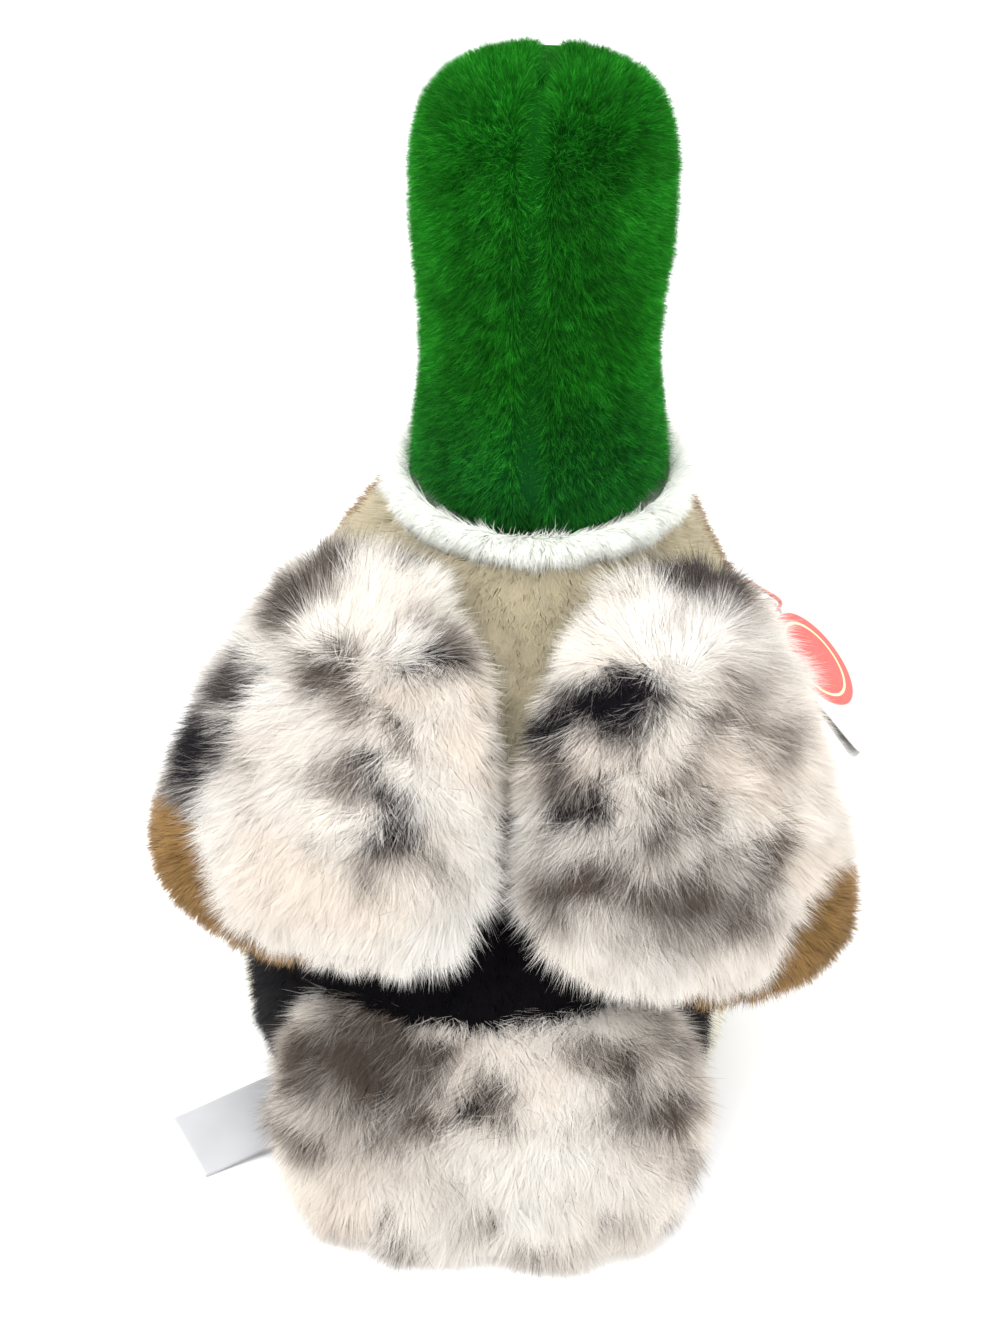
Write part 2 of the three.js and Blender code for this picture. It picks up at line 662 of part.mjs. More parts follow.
function wing(sideName, side, lie) {
  const pad = { at: wingAt(side, lie), outline: wingRim, spokes: WING_SPOKES, rings: WING_RINGS, side };
  const coarse = { ...pad, spokes: WING_INNER_SPOKES, rings: WING_INNER_RINGS };
  const padded = (form, half, lip, grow) => {
    const inner = wingHeight(half, lip, LINING_BULGE_SHARE);
    return padBody(form, (...place) => -inner(...place), wingHeight(half, lip, 0), grow);
  };
  const half = WING_THICKNESS * HALF - SEAM_LIP;
  const fill = half - PLUSH;
  const inset = 1 - WING_INSET_SHARE;
  const whole = padded(pad, half, SEAM_LIP, 1).subtract(bodyClear);
  const room = padded(coarse, fill + GAP, SEAM_LIP * HALF + GAP, inset + GAP / WING_THICKNESS);
  const wall = whole.subtract(room.subtract(liningBack));
  const overSeam = (shift) => padBody(pad, wingSeam(shift), () => WING_THICKNESS, WING_SPLIT_SHARE);
  const filling = padded(coarse, fill, SEAM_LIP * HALF, inset).subtract(liningClear);
  const group = new THREE.Group();
  group.add(
    named(`wing_cover_${sideName}`, wall.intersect(overSeam(edge)), MARBLED_PILE),
    named(`wing_lining_${sideName}`, wall.subtract(overSeam(-edge)), CAMEL_PILE),
    named(`wing_filling_${sideName}`, filling, FIBRE_FILL),
  );
  return group;
}

// Tail, in a group at its top seam, with its length along the group's -Z

const tail = new THREE.Group();
tail.position.copy(bodyPoint(TAIL_SEAM_SHARE * BODY_HEIGHT, 0)).setX(TAIL_SAG_SHARE * BODY_SAG);
tail.rotation.x = (90 - TAIL_DROP_DEG) * DEG;

function tailForm(out, rings, sides) {
  const shrink = out / TAIL_LENGTH;
  const grown = Array.from({ length: rings + 1 }, (_, r) => {
    const [t, w, thick] = along(TAIL_SHARES, r / rings);
    const halfWidth = w * TAIL_HALF_WIDTH + out;
    const halfThick = Math.max(thick * TAIL_THICKNESS * HALF + out, GAP);
    return Array.from({ length: sides }, (_, s) => {
      const angle = (s / sides) * FULL_TURN;
      return new THREE.Vector3(
        halfWidth * rounded(Math.sin(angle), TAIL_SQUARENESS),
        halfThick * rounded(Math.cos(angle), TAIL_SQUARENESS) - TAIL_THICKNESS * HALF,
        -t * (1 + shrink) * TAIL_LENGTH,
      );
    });
  });
  return toSolid(lofted(grown));
}

tail.updateMatrixWorld(true);
const intoTail = tail.matrixWorld.clone().invert();
const overFloor = moved(block([-FAR, -FAR, TAIL_FLOOR_GAP], [FAR, FAR, FAR]), intoTail);
const bodyInTail = moved(bodyClear, intoTail);
const tailOuter = tailForm(0, TAIL_RINGS, TAIL_SIDES).subtract(bodyInTail).intersect(overFloor);
const overTailFloor = moved(block([-FAR, -FAR, TAIL_FLOOR_GAP + PLUSH], [FAR, FAR, FAR]), intoTail);
const overFillFloor = moved(block([-FAR, -FAR, TAIL_FLOOR_GAP + PLUSH + GAP], [FAR, FAR, FAR]), intoTail);
const tailRoom = tailForm(-PLUSH, TAIL_RINGS, TAIL_SIDES).intersect(overTailFloor);
const tailFill = tailForm(-PLUSH - GAP, TAIL_RINGS, TAIL_SIDES).intersect(overFillFloor);
const tailWall = tailOuter.subtract(tailRoom);
const tailSeam = -TAIL_THICKNESS * HALF;
tail.add(
  named('tail_cover', tailWall.intersect(block([-FAR, tailSeam + edge, -FAR], [FAR, FAR, FAR])), MARBLED_PILE),
  named('tail_underside', tailWall.intersect(block([-FAR, -FAR, -FAR], [FAR, tailSeam - edge, FAR])),
    MARBLED_PILE),
  named('tail_filling', tailFill.subtract(bodyInTail), FIBRE_FILL),
);

// Bill, in the head's group: two felt halves on the face

const billZ = BILL_HEIGHT_SHARE * HEAD_HEIGHT;
function billHalf(side) {
  const rows = Array.from({ length: BILL_RINGS + 1 }, (_, r) => {
    const [out, w, thick] = along(BILL_SHARES, r / BILL_RINGS);
    const reach = out * (BILL_LENGTH + BILL_ROOT) - BILL_ROOT;
    const lift = BILL_RISE * (reach / BILL_LENGTH) ** 2;
    return Array.from({ length: BILL_SIDES }, (_, s) => {
      const angle = (s / BILL_SIDES) * FULL_TURN;
      const up = Math.sin(angle);
      const share = side > 0 ? 1 - BILL_LOWER_SHARE : BILL_LOWER_SHARE;
      const height = Math.max(side * up, 0) * share * thick * BILL_THICKNESS;
      return new THREE.Vector3(
        w * BILL_HALF_WIDTH * (side > 0 ? 1 : BILL_LOWER_WIDTH_SHARE) * Math.cos(angle),
        -(HEAD_FRONT * BILL_FACE_SHARE + reach),
        billZ + lift + side * (edge + height),
      );
    });
  });
  const geometry = lofted(rows);
  return toSolid(geometry).subtract(headClear);
}
head.add(
  named('bill_upper', billHalf(1), YELLOW_FELT),
  named('bill_lower', billHalf(-1), YELLOW_FELT),
);

// Feet: a webbed pad of two felt pieces at each side

const footRim = (angle) => {
  const fromToe = Math.abs(angle - Math.PI * HALF);
  const inToes = fromToe < FOOT_TOES_DEG * DEG;
  const web = inToes ? (1 - Math.cos((fromToe / (FOOT_TOES_DEG * DEG)) * FOOT_TOES * Math.PI)) * HALF : 1;
  const reach = 1 - FOOT_WEB_SHARE * web;
  const narrow = 1 - (1 - FOOT_HEEL_SHARE) * ((1 - Math.sin(angle)) * HALF) ** FOOT_TAPER_POWER;
  return [Math.cos(angle) * narrow * reach, Math.sin(angle) * reach];
};

function foot(sideName, side) {
  const group = new THREE.Group();
  group.position.set(
    FOOT_APART_SHARE * BODY_HALF_WIDTH * side + FOOT_SAG_SHARE * BODY_SAG,
    -FOOT_HEEL_REACH_SHARE * BODY_FRONT,
    FOOT_THICKNESS * HALF + FOOT_FLOOR_GAP,
  );
  group.rotation.z = Math.PI - side * FOOT_TOE_OUT_DEG * DEG;
  group.updateMatrixWorld(true);
  const bodyHere = moved(bodyClear, group.matrixWorld.clone().invert());
  // Where the body would be if the toes were bent right up
  const bent = new THREE.Matrix4().makeRotationX(-FOOT_FLEX_DEG * DEG);
  const hinge = new THREE.Vector3(0, FOOT_HINGE_IN, 0);
  bent.setPosition(hinge.clone().sub(hinge.clone().applyMatrix4(bent)));
  const kept = bodyHere.add(moved(bodyHere, bent));
  const pad = {
    at: (u, v) => ({
      point: new THREE.Vector3(u * FOOT_HALF_WIDTH, (v + 1) * FOOT_LENGTH * HALF, 0),
      normal: new THREE.Vector3(0, 0, 1),
    }),
    outline: footRim,
    spokes: FOOT_SPOKES,
    rings: FOOT_RINGS,
  };
  const height = (share) => FELT + (FOOT_THICKNESS * HALF - FELT) * (1 - share ** FOOT_CROWN_POWER) ** HALF;
  const upper = padBody(pad, () => edge, height).subtract(kept);
  const sole = padBody(pad, (share) => -height(share), () => -edge).subtract(kept);
  group.add(
    named(`foot_upper_${sideName}`, upper, ORANGE_FELT),
    named(`foot_sole_${sideName}`, sole, ORANGE_FELT),
  );
  return group;
}

// Card tag, in a group at the hole that its loop runs through

const tag = new THREE.Group();
const tagRoot = bodyPoint(TAG_HEIGHT_SHARE * BODY_HEIGHT, -TAG_ROOT_DEG * DEG);
const tagOut = bodyNormal(TAG_HEIGHT_SHARE * BODY_HEIGHT, -TAG_ROOT_DEG * DEG);
tag.position.copy(tagRoot).addScaledVector(tagOut, TAG_STANDOFF);
tag.rotation.set(TAG_SWING_DEG * DEG, TAG_LEAN_DEG * DEG, 0, 'YXZ');
const cardMiddle = TAG_HOLE_IN - TAG_LENGTH * HALF;
function cardRing(x) {
  const corners = [[1, 1], [-1, 1], [-1, -1], [1, -1]];
  return corners.flatMap(([alongY, alongZ], corner) => (
    Array.from({ length: TAG_CORNER_STEPS + 1 }, (_, k) => {
      const angle = (corner + k / TAG_CORNER_STEPS) * Math.PI * HALF;
      return new THREE.Vector3(
        x,
        alongY * (TAG_WIDTH * HALF - TAG_CORNER) + TAG_CORNER * Math.cos(angle),
        cardMiddle + alongZ * (TAG_LENGTH * HALF - TAG_CORNER) + TAG_CORNER * Math.sin(angle),
      );
    })
  ));
}
const card = toSolid(lofted([cardRing(-TAG_THICKNESS * HALF), cardRing(TAG_THICKNESS * HALF)]));
const acrossCard = new THREE.Matrix4().makeRotationY(Math.PI * HALF);
const tagHole = moved(cutterRod(TAG_HOLE, -TAG_HOLE, TAG_HOLE), acrossCard);
tag.add(named('hang_tag', card.subtract(tagHole), WHITE_CARD));

// The loop: a closed thread from the seam above, straight through the tag's hole
tag.updateMatrixWorld(true);
const through = new THREE.Vector3(1, 0, 0).transformDirection(tag.matrixWorld);
const upCard = new THREE.Vector3(0, 0, 1).transformDirection(tag.matrixWorld);
const loopRoot = bodyPoint(TAG_HEIGHT_SHARE * BODY_HEIGHT + LOOP_RISE, -TAG_ROOT_DEG * DEG);
const fromHole = (out, up) => tag.position.clone().addScaledVector(through, out).addScaledVector(upCard, up);
const loopPath = new THREE.CatmullRomCurve3([
  loopRoot.clone().addScaledVector(through, LOOP_REACH),
  fromHole(LOOP_REACH, LOOP_REACH),
  fromHole(TAG_THICKNESS, 0),
  fromHole(-TAG_THICKNESS, 0),
  fromHole(-LOOP_REACH, LOOP_REACH),
  loopRoot.clone().addScaledVector(through, -LOOP_REACH),
], true, 'centripetal');
const loop = toSolid(new THREE.TubeGeometry(loopPath, LOOP_STEPS, LOOP_THREAD, LOOP_SIDES, true));

// Fabric label, in a group at the seam that holds it

const label = new THREE.Group();
const labelRoot = bodyPoint(LABEL_HEIGHT_SHARE * BODY_HEIGHT, LABEL_ROOT_DEG * DEG);
label.position.copy(labelRoot);
label.rotation.set(-LABEL_ROLL_DEG * DEG, LABEL_DROOP_DEG * DEG, LABEL_SWEEP_DEG * DEG, 'ZYX');
label.updateMatrixWorld(true);
const ribbon = block(
  [-LABEL_WIDTH * HALF, -LABEL_WIDTH * HALF, -LABEL_THICKNESS * HALF],
  [LABEL_LENGTH, LABEL_WIDTH * HALF, LABEL_THICKNESS * HALF],
);
const bodyByLabel = moved(bodyClear, label.matrixWorld.clone().invert());
label.add(named('sewn_label', ribbon.subtract(bodyByLabel), SATIN_RIBBON));

const duck = new THREE.Group();
duck.add(
  body,
  ring,
  head,
  wing('left', 1, WING_LIE_LEFT),
  wing('right', -1, WING_LIE_RIGHT),
  tail,
  foot('left', 1),
  foot('right', -1),
  tag,
  named('tag_loop', loop.subtract(bodyClear), RED_THREAD),
  label,
);

export default duck;
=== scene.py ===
"""A sitting plush mallard drake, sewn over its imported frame.

Units are metres. The drake faces -Y, +X is its left side, +Z is up, and the origin is the middle
of the flat face that it sits on. Every fabric panel is a thin skin, worked out as a grid, with a
pile of flat tapered strands that grow from it.
"""

import json

import bpy
import numpy as np
from bpy.props import FloatProperty, FloatVectorProperty, PointerProperty
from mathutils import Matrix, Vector


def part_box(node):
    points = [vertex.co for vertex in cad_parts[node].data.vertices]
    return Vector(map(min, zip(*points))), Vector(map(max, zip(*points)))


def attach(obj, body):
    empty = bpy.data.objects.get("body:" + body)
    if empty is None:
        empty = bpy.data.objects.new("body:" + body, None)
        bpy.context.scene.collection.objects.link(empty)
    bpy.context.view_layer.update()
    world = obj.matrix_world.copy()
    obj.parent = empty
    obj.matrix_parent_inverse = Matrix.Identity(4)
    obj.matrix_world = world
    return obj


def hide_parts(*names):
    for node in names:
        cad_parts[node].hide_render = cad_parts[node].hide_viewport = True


bl_info = {
    "name": "Plush Drake",
    "version": (1, 0, 0),
    "blender": (4, 5, 0),
    "location": "View3D > Sidebar > Plush Drake",
    "description": "Sews a sitting plush drake: pile panels, felt bill and feet, tag and label",
    "category": "Add Mesh",
}

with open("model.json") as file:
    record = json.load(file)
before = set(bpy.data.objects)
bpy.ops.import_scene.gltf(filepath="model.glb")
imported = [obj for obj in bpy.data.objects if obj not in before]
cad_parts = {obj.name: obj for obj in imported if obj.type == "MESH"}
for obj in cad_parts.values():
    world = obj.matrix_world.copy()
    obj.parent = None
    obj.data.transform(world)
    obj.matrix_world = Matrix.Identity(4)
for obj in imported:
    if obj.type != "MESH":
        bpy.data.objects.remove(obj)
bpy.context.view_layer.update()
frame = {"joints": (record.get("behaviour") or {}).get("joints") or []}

TURN = 2 * np.pi
FLOOR_GAP = 0.0006
# Half the gap between two felt halves that are sewn together
HALF_SEAM = 0.00015

# Body: height, half width, reach behind and in front, sideways sag, and how square its sections are
BODY_HEIGHT = 0.174
BODY_HALF_WIDTH = 0.082
BODY_BACK = 0.084
BODY_FRONT = 0.104
BODY_SAG = 0.011
BODY_SQUARENESS = 2.25
# Height, half width, reach behind, reach in front and sag, as shares of the sizes above
BODY_SHARES = [
    [0.0, 0.7, 0.66, 0.5, 0.5],
    [0.025, 0.83, 0.8, 0.62, 0.7],
    [0.1, 0.92, 0.93, 0.78, 0.95],
    [0.24, 0.95, 1.0, 0.92, 1.0],
    [0.42, 0.98, 0.94, 0.99, 0.9],
    [0.58, 0.97, 0.74, 1.0, 0.7],
    [0.74, 0.86, 0.47, 0.97, 0.5],
    [0.88, 0.7, 0.23, 0.9, 0.35],
]
NECK_SAG_SHARE = 0.1
BREAST_SEAM_Y = -0.046
BREAST_HEM_Z = BODY_HEIGHT / 3
RUMP_SEAM_Y = 0.034
RUMP_TOP_Z = 0.672 * BODY_HEIGHT

# Neck ring and head, the head measured from the point that the neck nods about
NECK_PIVOT = np.array(next(j["pos_m"] for j in frame["joints"] if j["name"] == "neck_nod"))
RING_RADIUS = 0.045
RING_HEIGHT = 0.0095
RING_DROP = 0.011
NECK_BALL = 0.0385
HEAD_HEIGHT = 0.117
HEAD_HALF_WIDTH = 0.0385
HEAD_BACK = 0.036
HEAD_FRONT = 0.056
# Height, half width, reach behind and reach in front, as shares of the four sizes above
HEAD_SHARES = [
    [0.1, 0.965, 1.03, 0.66],
    [0.24, 0.92, 0.98, 0.63],
    [0.38, 0.93, 0.98, 0.72],
    [0.52, 0.985, 1.0, 0.9],
    [0.66, 1.0, 1.0, 1.0],
    [0.79, 0.985, 0.96, 0.98],
    [0.9, 0.88, 0.82, 0.84],
    [0.97, 0.62, 0.52, 0.58],
    [1.0, 0.3, 0.2, 0.26],
    [1.005, 0.0, 0.0, 0.0],
]

# Wings, laid over the body: height as a share of the body's, angle round it from the spine in
# degrees, and the stand-off of the wing's middle as a share of its thickness
WING_THICKNESS = 0.036
WING_SQUARENESS = 3.8
WING_NET = [
    [[0.99, 17, 0.25], [0.96, 51, 0.2], [0.87, 82, 0.22]],
    [[0.74, 3, 0.4], [0.69, 40, 0.58], [0.6, 71, 0.55]],
    [[0.49, 4, 0.45], [0.44, 34, 0.62], [0.45, 62, 1.35]],
]
# How far the wings lie turned at their upper and lower edges in degrees, and their lower edges'
# slip and further slip at the inner end as shares of the body's height
WING_LIE = {"left": (-3, -8, 0.0, 0.03), "right": (0, 3, 0.04, -0.012)}
SEAM_LIP = 0.0016
LINING_RISE = 0.026
LINING_BULGE_SHARE = 0.3
LINING_FROM_SHARE = 0.88
LINING_FADE_SHARE = 0.3
# The lining: its gap from the body, the most of the way to the rim that it starts at, its share
# that turns in under the rim, and where round the rim it shows as a lobe and how far to each side
LINING_GAP = 0.0012
SEAM_TUCK_SHARE = 0.96
LINING_TURN_IN = 0.3
LOBE_MIDDLE = np.radians(46)
LOBE_HALF = np.radians(31)

# Tail, measured along itself from its top seam
TAIL_LENGTH = 0.076
TAIL_HALF_WIDTH = 0.066
TAIL_THICKNESS = 0.042
TAIL_SQUARENESS = 2.6
TAIL_TURN = np.radians(90 - 51)
# How far the skin under its top seam is sunk in the body
TAIL_SUNK = 0.0042
TAIL_ROOT = np.array(next(j["pos_m"] for j in frame["joints"] if j["name"] == "tail_lift"))
# Distance along the tail, half width and thickness, as shares of the three sizes above
TAIL_SHARES = [
    [-0.2, 0.7, 0.5],
    [-0.04, 0.84, 0.76],
    [0.16, 0.96, 0.98],
    [0.45, 1.0, 1.0],
    [0.72, 0.9, 0.9],
    [0.9, 0.72, 0.68],
    [1.0, 0.46, 0.3],
    [1.03, 0.0, 0.0],
]

# Where the fringe parts and half the width of a parting, as shares across the tail
FRINGE_PARTS = np.array([-0.57, -0.07, 0.48])
PARTING_HALF = 0.11
# How much longer the fringe's strands are, and how much shorter they are along the tail's sides, at
# a parting and at the lower corners
FRINGE_LONGER, EDGE_SHORTER, PARTING_SHORTER, CORNER_SHORTER = 0.3, 0.25, 0.75, 0.6

# Bill, in two halves: reach, half width and thickness, as shares of its own sizes
BILL_LENGTH = 0.042
BILL_ROOT = 0.014
BILL_HALF_WIDTH = 0.017
BILL_THICKNESS = 0.017
BILL_RISE = 0.003
BILL_HEIGHT_SHARE = 0.58
BILL_FACE_SHARE = 0.96
BILL_LOWER_SHARE = 0.38
BILL_LOWER_WIDTH_SHARE = 0.9
# How much closer rings are towards the bill's tip, and how plump a ring's half ellipse is
BILL_EASE = 1.4
BILL_PLUMPNESS = 0.85
BILL_SHARES = [
    [0.0, 1.0, 1.0],
    [0.3, 0.92, 0.95],
    [0.55, 0.86, 0.7],
    [0.78, 0.98, 0.56],
    [0.92, 0.88, 0.46],
    [1.0, 0.5, 0.26],
    [1.012, 0.0, 0.0],
]

# Feet, laid flat with their heels under the belly
FOOT_LENGTH = 0.072
FOOT_HALF_WIDTH = 0.03
FOOT_THICKNESS = 0.012
FOOT_EDGE = 0.0015
FOOT_APART_SHARE = 0.45
FOOT_HEEL_REACH_SHARE = 0.558
FOOT_TOE_OUT = np.radians(10)
FOOT_HEEL_SHARE = 0.45
FOOT_WEB_SHARE = 0.16
FOOT_TOES_TURN = np.radians(60)
FOOT_FLEX = np.radians(15)
FOOT_HINGE_IN = 0.007
# The channels between the toes: depth, half width, and the sole's share of that depth
FOOT_CHANNEL = 0.0024
FOOT_CHANNEL_HALF = 0.0022
FOOT_SOLE_SHARE = 0.4
# How far apart the heels' places are tried, up to where, and the least reach that is clear
FOOT_TRY_STEP, FOOT_TRY_END = 0.0005, 0.04
FOOT_CLEAR = 1.004

# Card tag: its hole's place, and its directions through, across and up the card
TAG_HOLE_AT = np.array([-0.072785, -0.070010, 0.112724])
TAG_AXES = np.array([[0.7071, 0.0, -0.7071], [0.2763, 0.9205, 0.2763], [0.6509, -0.3907, 0.6509]])
TAG_LENGTH = 0.056
TAG_WIDTH = 0.04
TAG_CORNER = 0.003
TAG_HOLE = 0.002
TAG_HOLE_IN = 0.005
# The printed round: its middle across and up the card from the hole, and its radius
TAG_ROUND = (0.001, -0.0195, 0.0175)
TAG_RING_SHARE = 0.78
# The least gap between the card's leaves, how far they part at the foot, and a leaf's thickness
LEAF_GAP = 0.00008
LEAF_PARTING = 0.0011
LEAF = 0.00034
LOOP_ROOT_AT = np.array([-0.0609, -0.0662, 0.1244])
LOOP_DIAMETER = 0.0012

# Sewn label: its seam's place, and its directions along, across and through the ribbon
LABEL_AT = np.array([0.060131, 0.053347, 0.00783])
LABEL_AXES = np.array([
    [0.8079, 0.587, -0.0523], [-0.5608, 0.7386, -0.3741], [-0.1809, 0.3316, 0.9259],
])
LABEL_LENGTH = 0.044
LABEL_WIDTH = 0.022
LABEL_BEND = 0.00045
LABEL_ROOT = -0.004
# The ribbon's wave along it, how many radians of it, its bow across, and where both fade in
LABEL_WAVE, LABEL_WAVE_TURN, LABEL_BOW, LABEL_FADE = 0.0006, 5.0, 0.0005, 0.01
RIBBON = 0.00022


# Smooth forms


def unit(vectors):
    """Vectors divided by their lengths."""
    return vectors / np.maximum(np.linalg.norm(vectors, axis=-1, keepdims=True), 1e-12)


def along(rows, t):
    """Smooth values at t from 0 to 1 along rows of numbers: between two rows a cubic, whose slope
    at each row is half the difference between the rows on both sides of it."""
    rows = np.asarray(rows, float)
    last = len(rows) - 1
    place = np.clip(t, 0, 1) * last
    i = np.minimum(place.astype(int), last - 1)
    f = (place - i)[..., None]
    here, there = rows[i], rows[i + 1]
    before, after = rows[np.maximum(i - 1, 0)], rows[np.minimum(i + 2, last)]
    slope, next_slope, rise = (there - before) / 2, (after - here) / 2, there - here
    cubed = slope + next_slope - 2 * rise
    return here + f * (slope + f * (3 * rise - 2 * slope - next_slope + f * cubed))


def rounded(value, squareness):
    """The value's size raised to 2 over squareness, with its sign kept, which makes a circle a
    squarer ring."""
    return np.sign(value) * np.abs(value) ** (2 / squareness)


def section(row, angle, squareness):
    """Points of level rings. A row is height, half width, reach behind, reach in front and sideways
    shift; angle 0 is straight back and a quarter turn is the left side."""
    height, half_width, back, front, aside = np.moveaxis(row, -1, 0)
    x = aside + half_width * rounded(np.sin(angle), squareness)
    y = (back - front) / 2 + (back + front) / 2 * rounded(np.cos(angle), squareness)
    return np.stack([x, y, np.broadcast_to(height, x.shape)], -1)


BODY_ROWS = np.vstack([
    np.array(BODY_SHARES) * [BODY_HEIGHT, BODY_HALF_WIDTH, BODY_BACK, BODY_FRONT, BODY_SAG],
    [
        BODY_HEIGHT, RING_RADIUS, NECK_PIVOT[1] + RING_RADIUS, RING_RADIUS - NECK_PIVOT[1],
        NECK_SAG_SHARE * BODY_SAG,
    ],
])
BODY_TABLE = along(BODY_ROWS, np.linspace(0, 1, 1601))
# What body_reach says above the body, and the least that points are taken to lie out from its axis
ABOVE_BODY = 2.0
LEAST_REACH = 0.05


def body_row(height):
    """The body's section numbers at a height, read off its smooth rows."""
    return np.stack([np.interp(height, BODY_TABLE[:, 0], BODY_TABLE[:, k]) for k in range(5)], -1)


def body_point(height, angle):
    """Points of the body's outside at a height and an angle round it."""
    return section(body_row(height), angle, BODY_SQUARENESS)


def body_reach(points):
    """How far out points lie in the body's section at their height: under 1 is inside it."""
    _, half_width, back, front, aside = np.moveaxis(body_row(points[..., 2]), -1, 0)
    x = np.abs(points[..., 0] - aside) / half_width
    y = np.abs(points[..., 1] - (back - front) / 2) / ((back + front) / 2)
    share = (x**BODY_SQUARENESS + y**BODY_SQUARENESS) ** (1 / BODY_SQUARENESS)
    return np.where(points[..., 2] > BODY_HEIGHT, ABOVE_BODY, share)


def clear_of_body(points, gap):
    """Points inside the body, or within the gap of it, are moved out level to the gap."""
    _, half_width, back, front, aside = np.moveaxis(body_row(points[..., 2]), -1, 0)
    middle = np.stack([aside, (back - front) / 2, points[..., 2]], -1)
    share = body_reach(points)
    wanted = 1 + gap / np.minimum(half_width, (back + front) / 2)
    grow = np.where(share < wanted, wanted / np.maximum(share, LEAST_REACH), 1.0)
    return middle + (points - middle) * grow[..., None]


def seam_angle(height, y):
    """The angle round the body where its outside meets the upright plane at y."""
    _, _, back, front, _ = np.moveaxis(body_row(height), -1, 0)
    share = np.clip((y - (back - front) / 2) / ((back + front) / 2), -1, 1)
    return np.arccos(rounded(share, 4 / BODY_SQUARENESS))


def surface_at(place, u, v, step=1e-3):
    """Points of a surface, its outward unit normals and its unit directions along v. The normal is
    the cross product of two short steps, one along u and one along v."""
    along_u = place(u + step, v) - place(u - step, v)
    along_v = place(u, v + step) - place(u, v - step)
    return place(u, v), unit(np.cross(along_u, along_v)), unit(along_v)


# Meshes


def new_piece(name, points, faces, normals=None, attributes=None, uv=None):
    """A mesh object at the origin from whole arrays: faces is a list of index arrays, each of
    triangles or of quads. normals and attributes are per point, and uv is per point."""
    mesh = bpy.data.meshes.new(name)
    corners = np.concatenate([f.ravel() for f in faces]).astype(np.int32)
    sizes = np.concatenate([np.full(len(f), f.shape[1]) for f in faces])
    starts = (np.cumsum(sizes) - sizes).astype(np.int32)
    mesh.vertices.add(len(points))
    mesh.vertices.foreach_set("co", np.ascontiguousarray(points, np.float32).ravel())
    mesh.loops.add(len(corners))
    mesh.loops.foreach_set("vertex_index", corners)
    mesh.polygons.add(len(sizes))
    mesh.polygons.foreach_set("loop_start", starts)
    mesh.polygons.foreach_set("use_smooth", np.ones(len(sizes), bool))
    mesh.update(calc_edges=True)
    for key, values in (attributes or {}).items():
        kind, field = ("FLOAT_VECTOR", "vector") if values.ndim == 2 else ("FLOAT", "value")
        layer = mesh.attributes.new(key, kind, "POINT")
        layer.data.foreach_set(field, values.astype(np.float32).ravel())
    if uv is not None:
        layer = mesh.uv_layers.new(name="OFBake")
        layer.uv.foreach_set("vector", uv[corners].astype(np.float32).ravel())
    if normals is not None:
        mesh.normals_split_custom_set_from_vertices(unit(normals).tolist())
    piece = bpy.data.objects.new(name, mesh)
    bpy.context.scene.collection.objects.link(piece)
    return piece


def settle(piece, material, replaced, body, slot):
    """Gives a piece its material, hides the solid that it stands for and puts it on its body. slot
    is not used.
    """
    piece.data.materials.append(material)
    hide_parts(replaced)
    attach(piece, body)


def grid_faces(rows, columns, wrap=False):
    """Quads of a grid of points, row by row. With wrap, the last column joins the first."""
    row = np.arange(rows - 1)[:, None] * columns
    column = np.arange(columns if wrap else columns - 1)[None, :]
    after = (column + 1) % columns
    corners = [row + column, row + after, row + columns + after, row + columns + column]
    return np.stack(corners, -1).reshape(-1, 4)


def slab(outer, inner, wrap=False):
    """A closed thin wall from two grids of points, outer and inner: both faces, and a strip along
    each open edge. With wrap, the grids close on themselves along their second axis."""
    rows, columns = outer.shape[:2]
    total = rows * columns
    points = np.concatenate([outer.reshape(-1, 3), inner.reshape(-1, 3)])
    faces = grid_faces(rows, columns, wrap)
    index = np.arange(total).reshape(rows, columns)
    edges = [index[0], index[-1][::-1]]
    if not wrap:
        edges += [index[:, -1], index[::-1, 0]]
    walls = [faces, faces[:, ::-1] + total]
    for k, edge in enumerate(edges):
        if wrap:
            edge = np.append(edge, edge[0])
        walls.append(np.stack([edge[1:], edge[:-1], edge[:-1] + total, edge[1:] + total], -1))
    return points, np.concatenate(walls)


def capped(rings):
    """A closed form through closed rings of points, one after another, each end drawn together to
    the middle of its ring."""
    rows, columns = rings.shape[:2]
    points = np.concatenate([rings.reshape(-1, 3), rings[:1].mean(1), rings[-1:].mean(1)])
    first = np.arange(columns)
    after = (first + 1) % columns
    low = np.stack([np.full(columns, rows * columns), after, first], -1)
    last = (rows - 1) * columns
    high = np.stack([np.full(columns, rows * columns + 1), last + first, last + after], -1)
    return points, [grid_faces(rows, columns, True), low, high]


# Pile


def hashed(cell, salt):
    """Even numbers from 0 to 1 that depend on a lattice cell and a salt: the cell's three whole
    numbers are multiplied by primes and added, and the sum is mixed by shifts and products."""
    mix = cell.astype(np.int64) @ np.array([73856093, 19349663, 83492791]) + salt * 40503
    for prime in (1274126177, 2246822519):
        mix = ((mix ^ (mix >> 15)) * prime) & 0xFFFFFFFF
    mix ^= mix >> 13
    return (mix & 0xFFFFFF) / 0x1000000


def tufts(points, size):
    """The middle of the nearest tuft to each point, and that tuft's lattice cell. Each cell of a
    lattice of that size holds one middle, at a hashed place."""
    base = np.floor(points / size)
    nearest = np.full(len(points), np.inf)
    middle, home = np.zeros_like(points), np.zeros_like(points)
    for step in np.ndindex(3, 3, 3):
        cell = base + np.array(step) - 1
        place = (cell + np.stack([hashed(cell, k) for k in (1, 2, 3)], -1)) * size
        far = ((place - points) ** 2).sum(-1)
        better = far < nearest
        nearest[better], middle[better], home[better] = far[better], place[better], cell[better]
    return middle, home


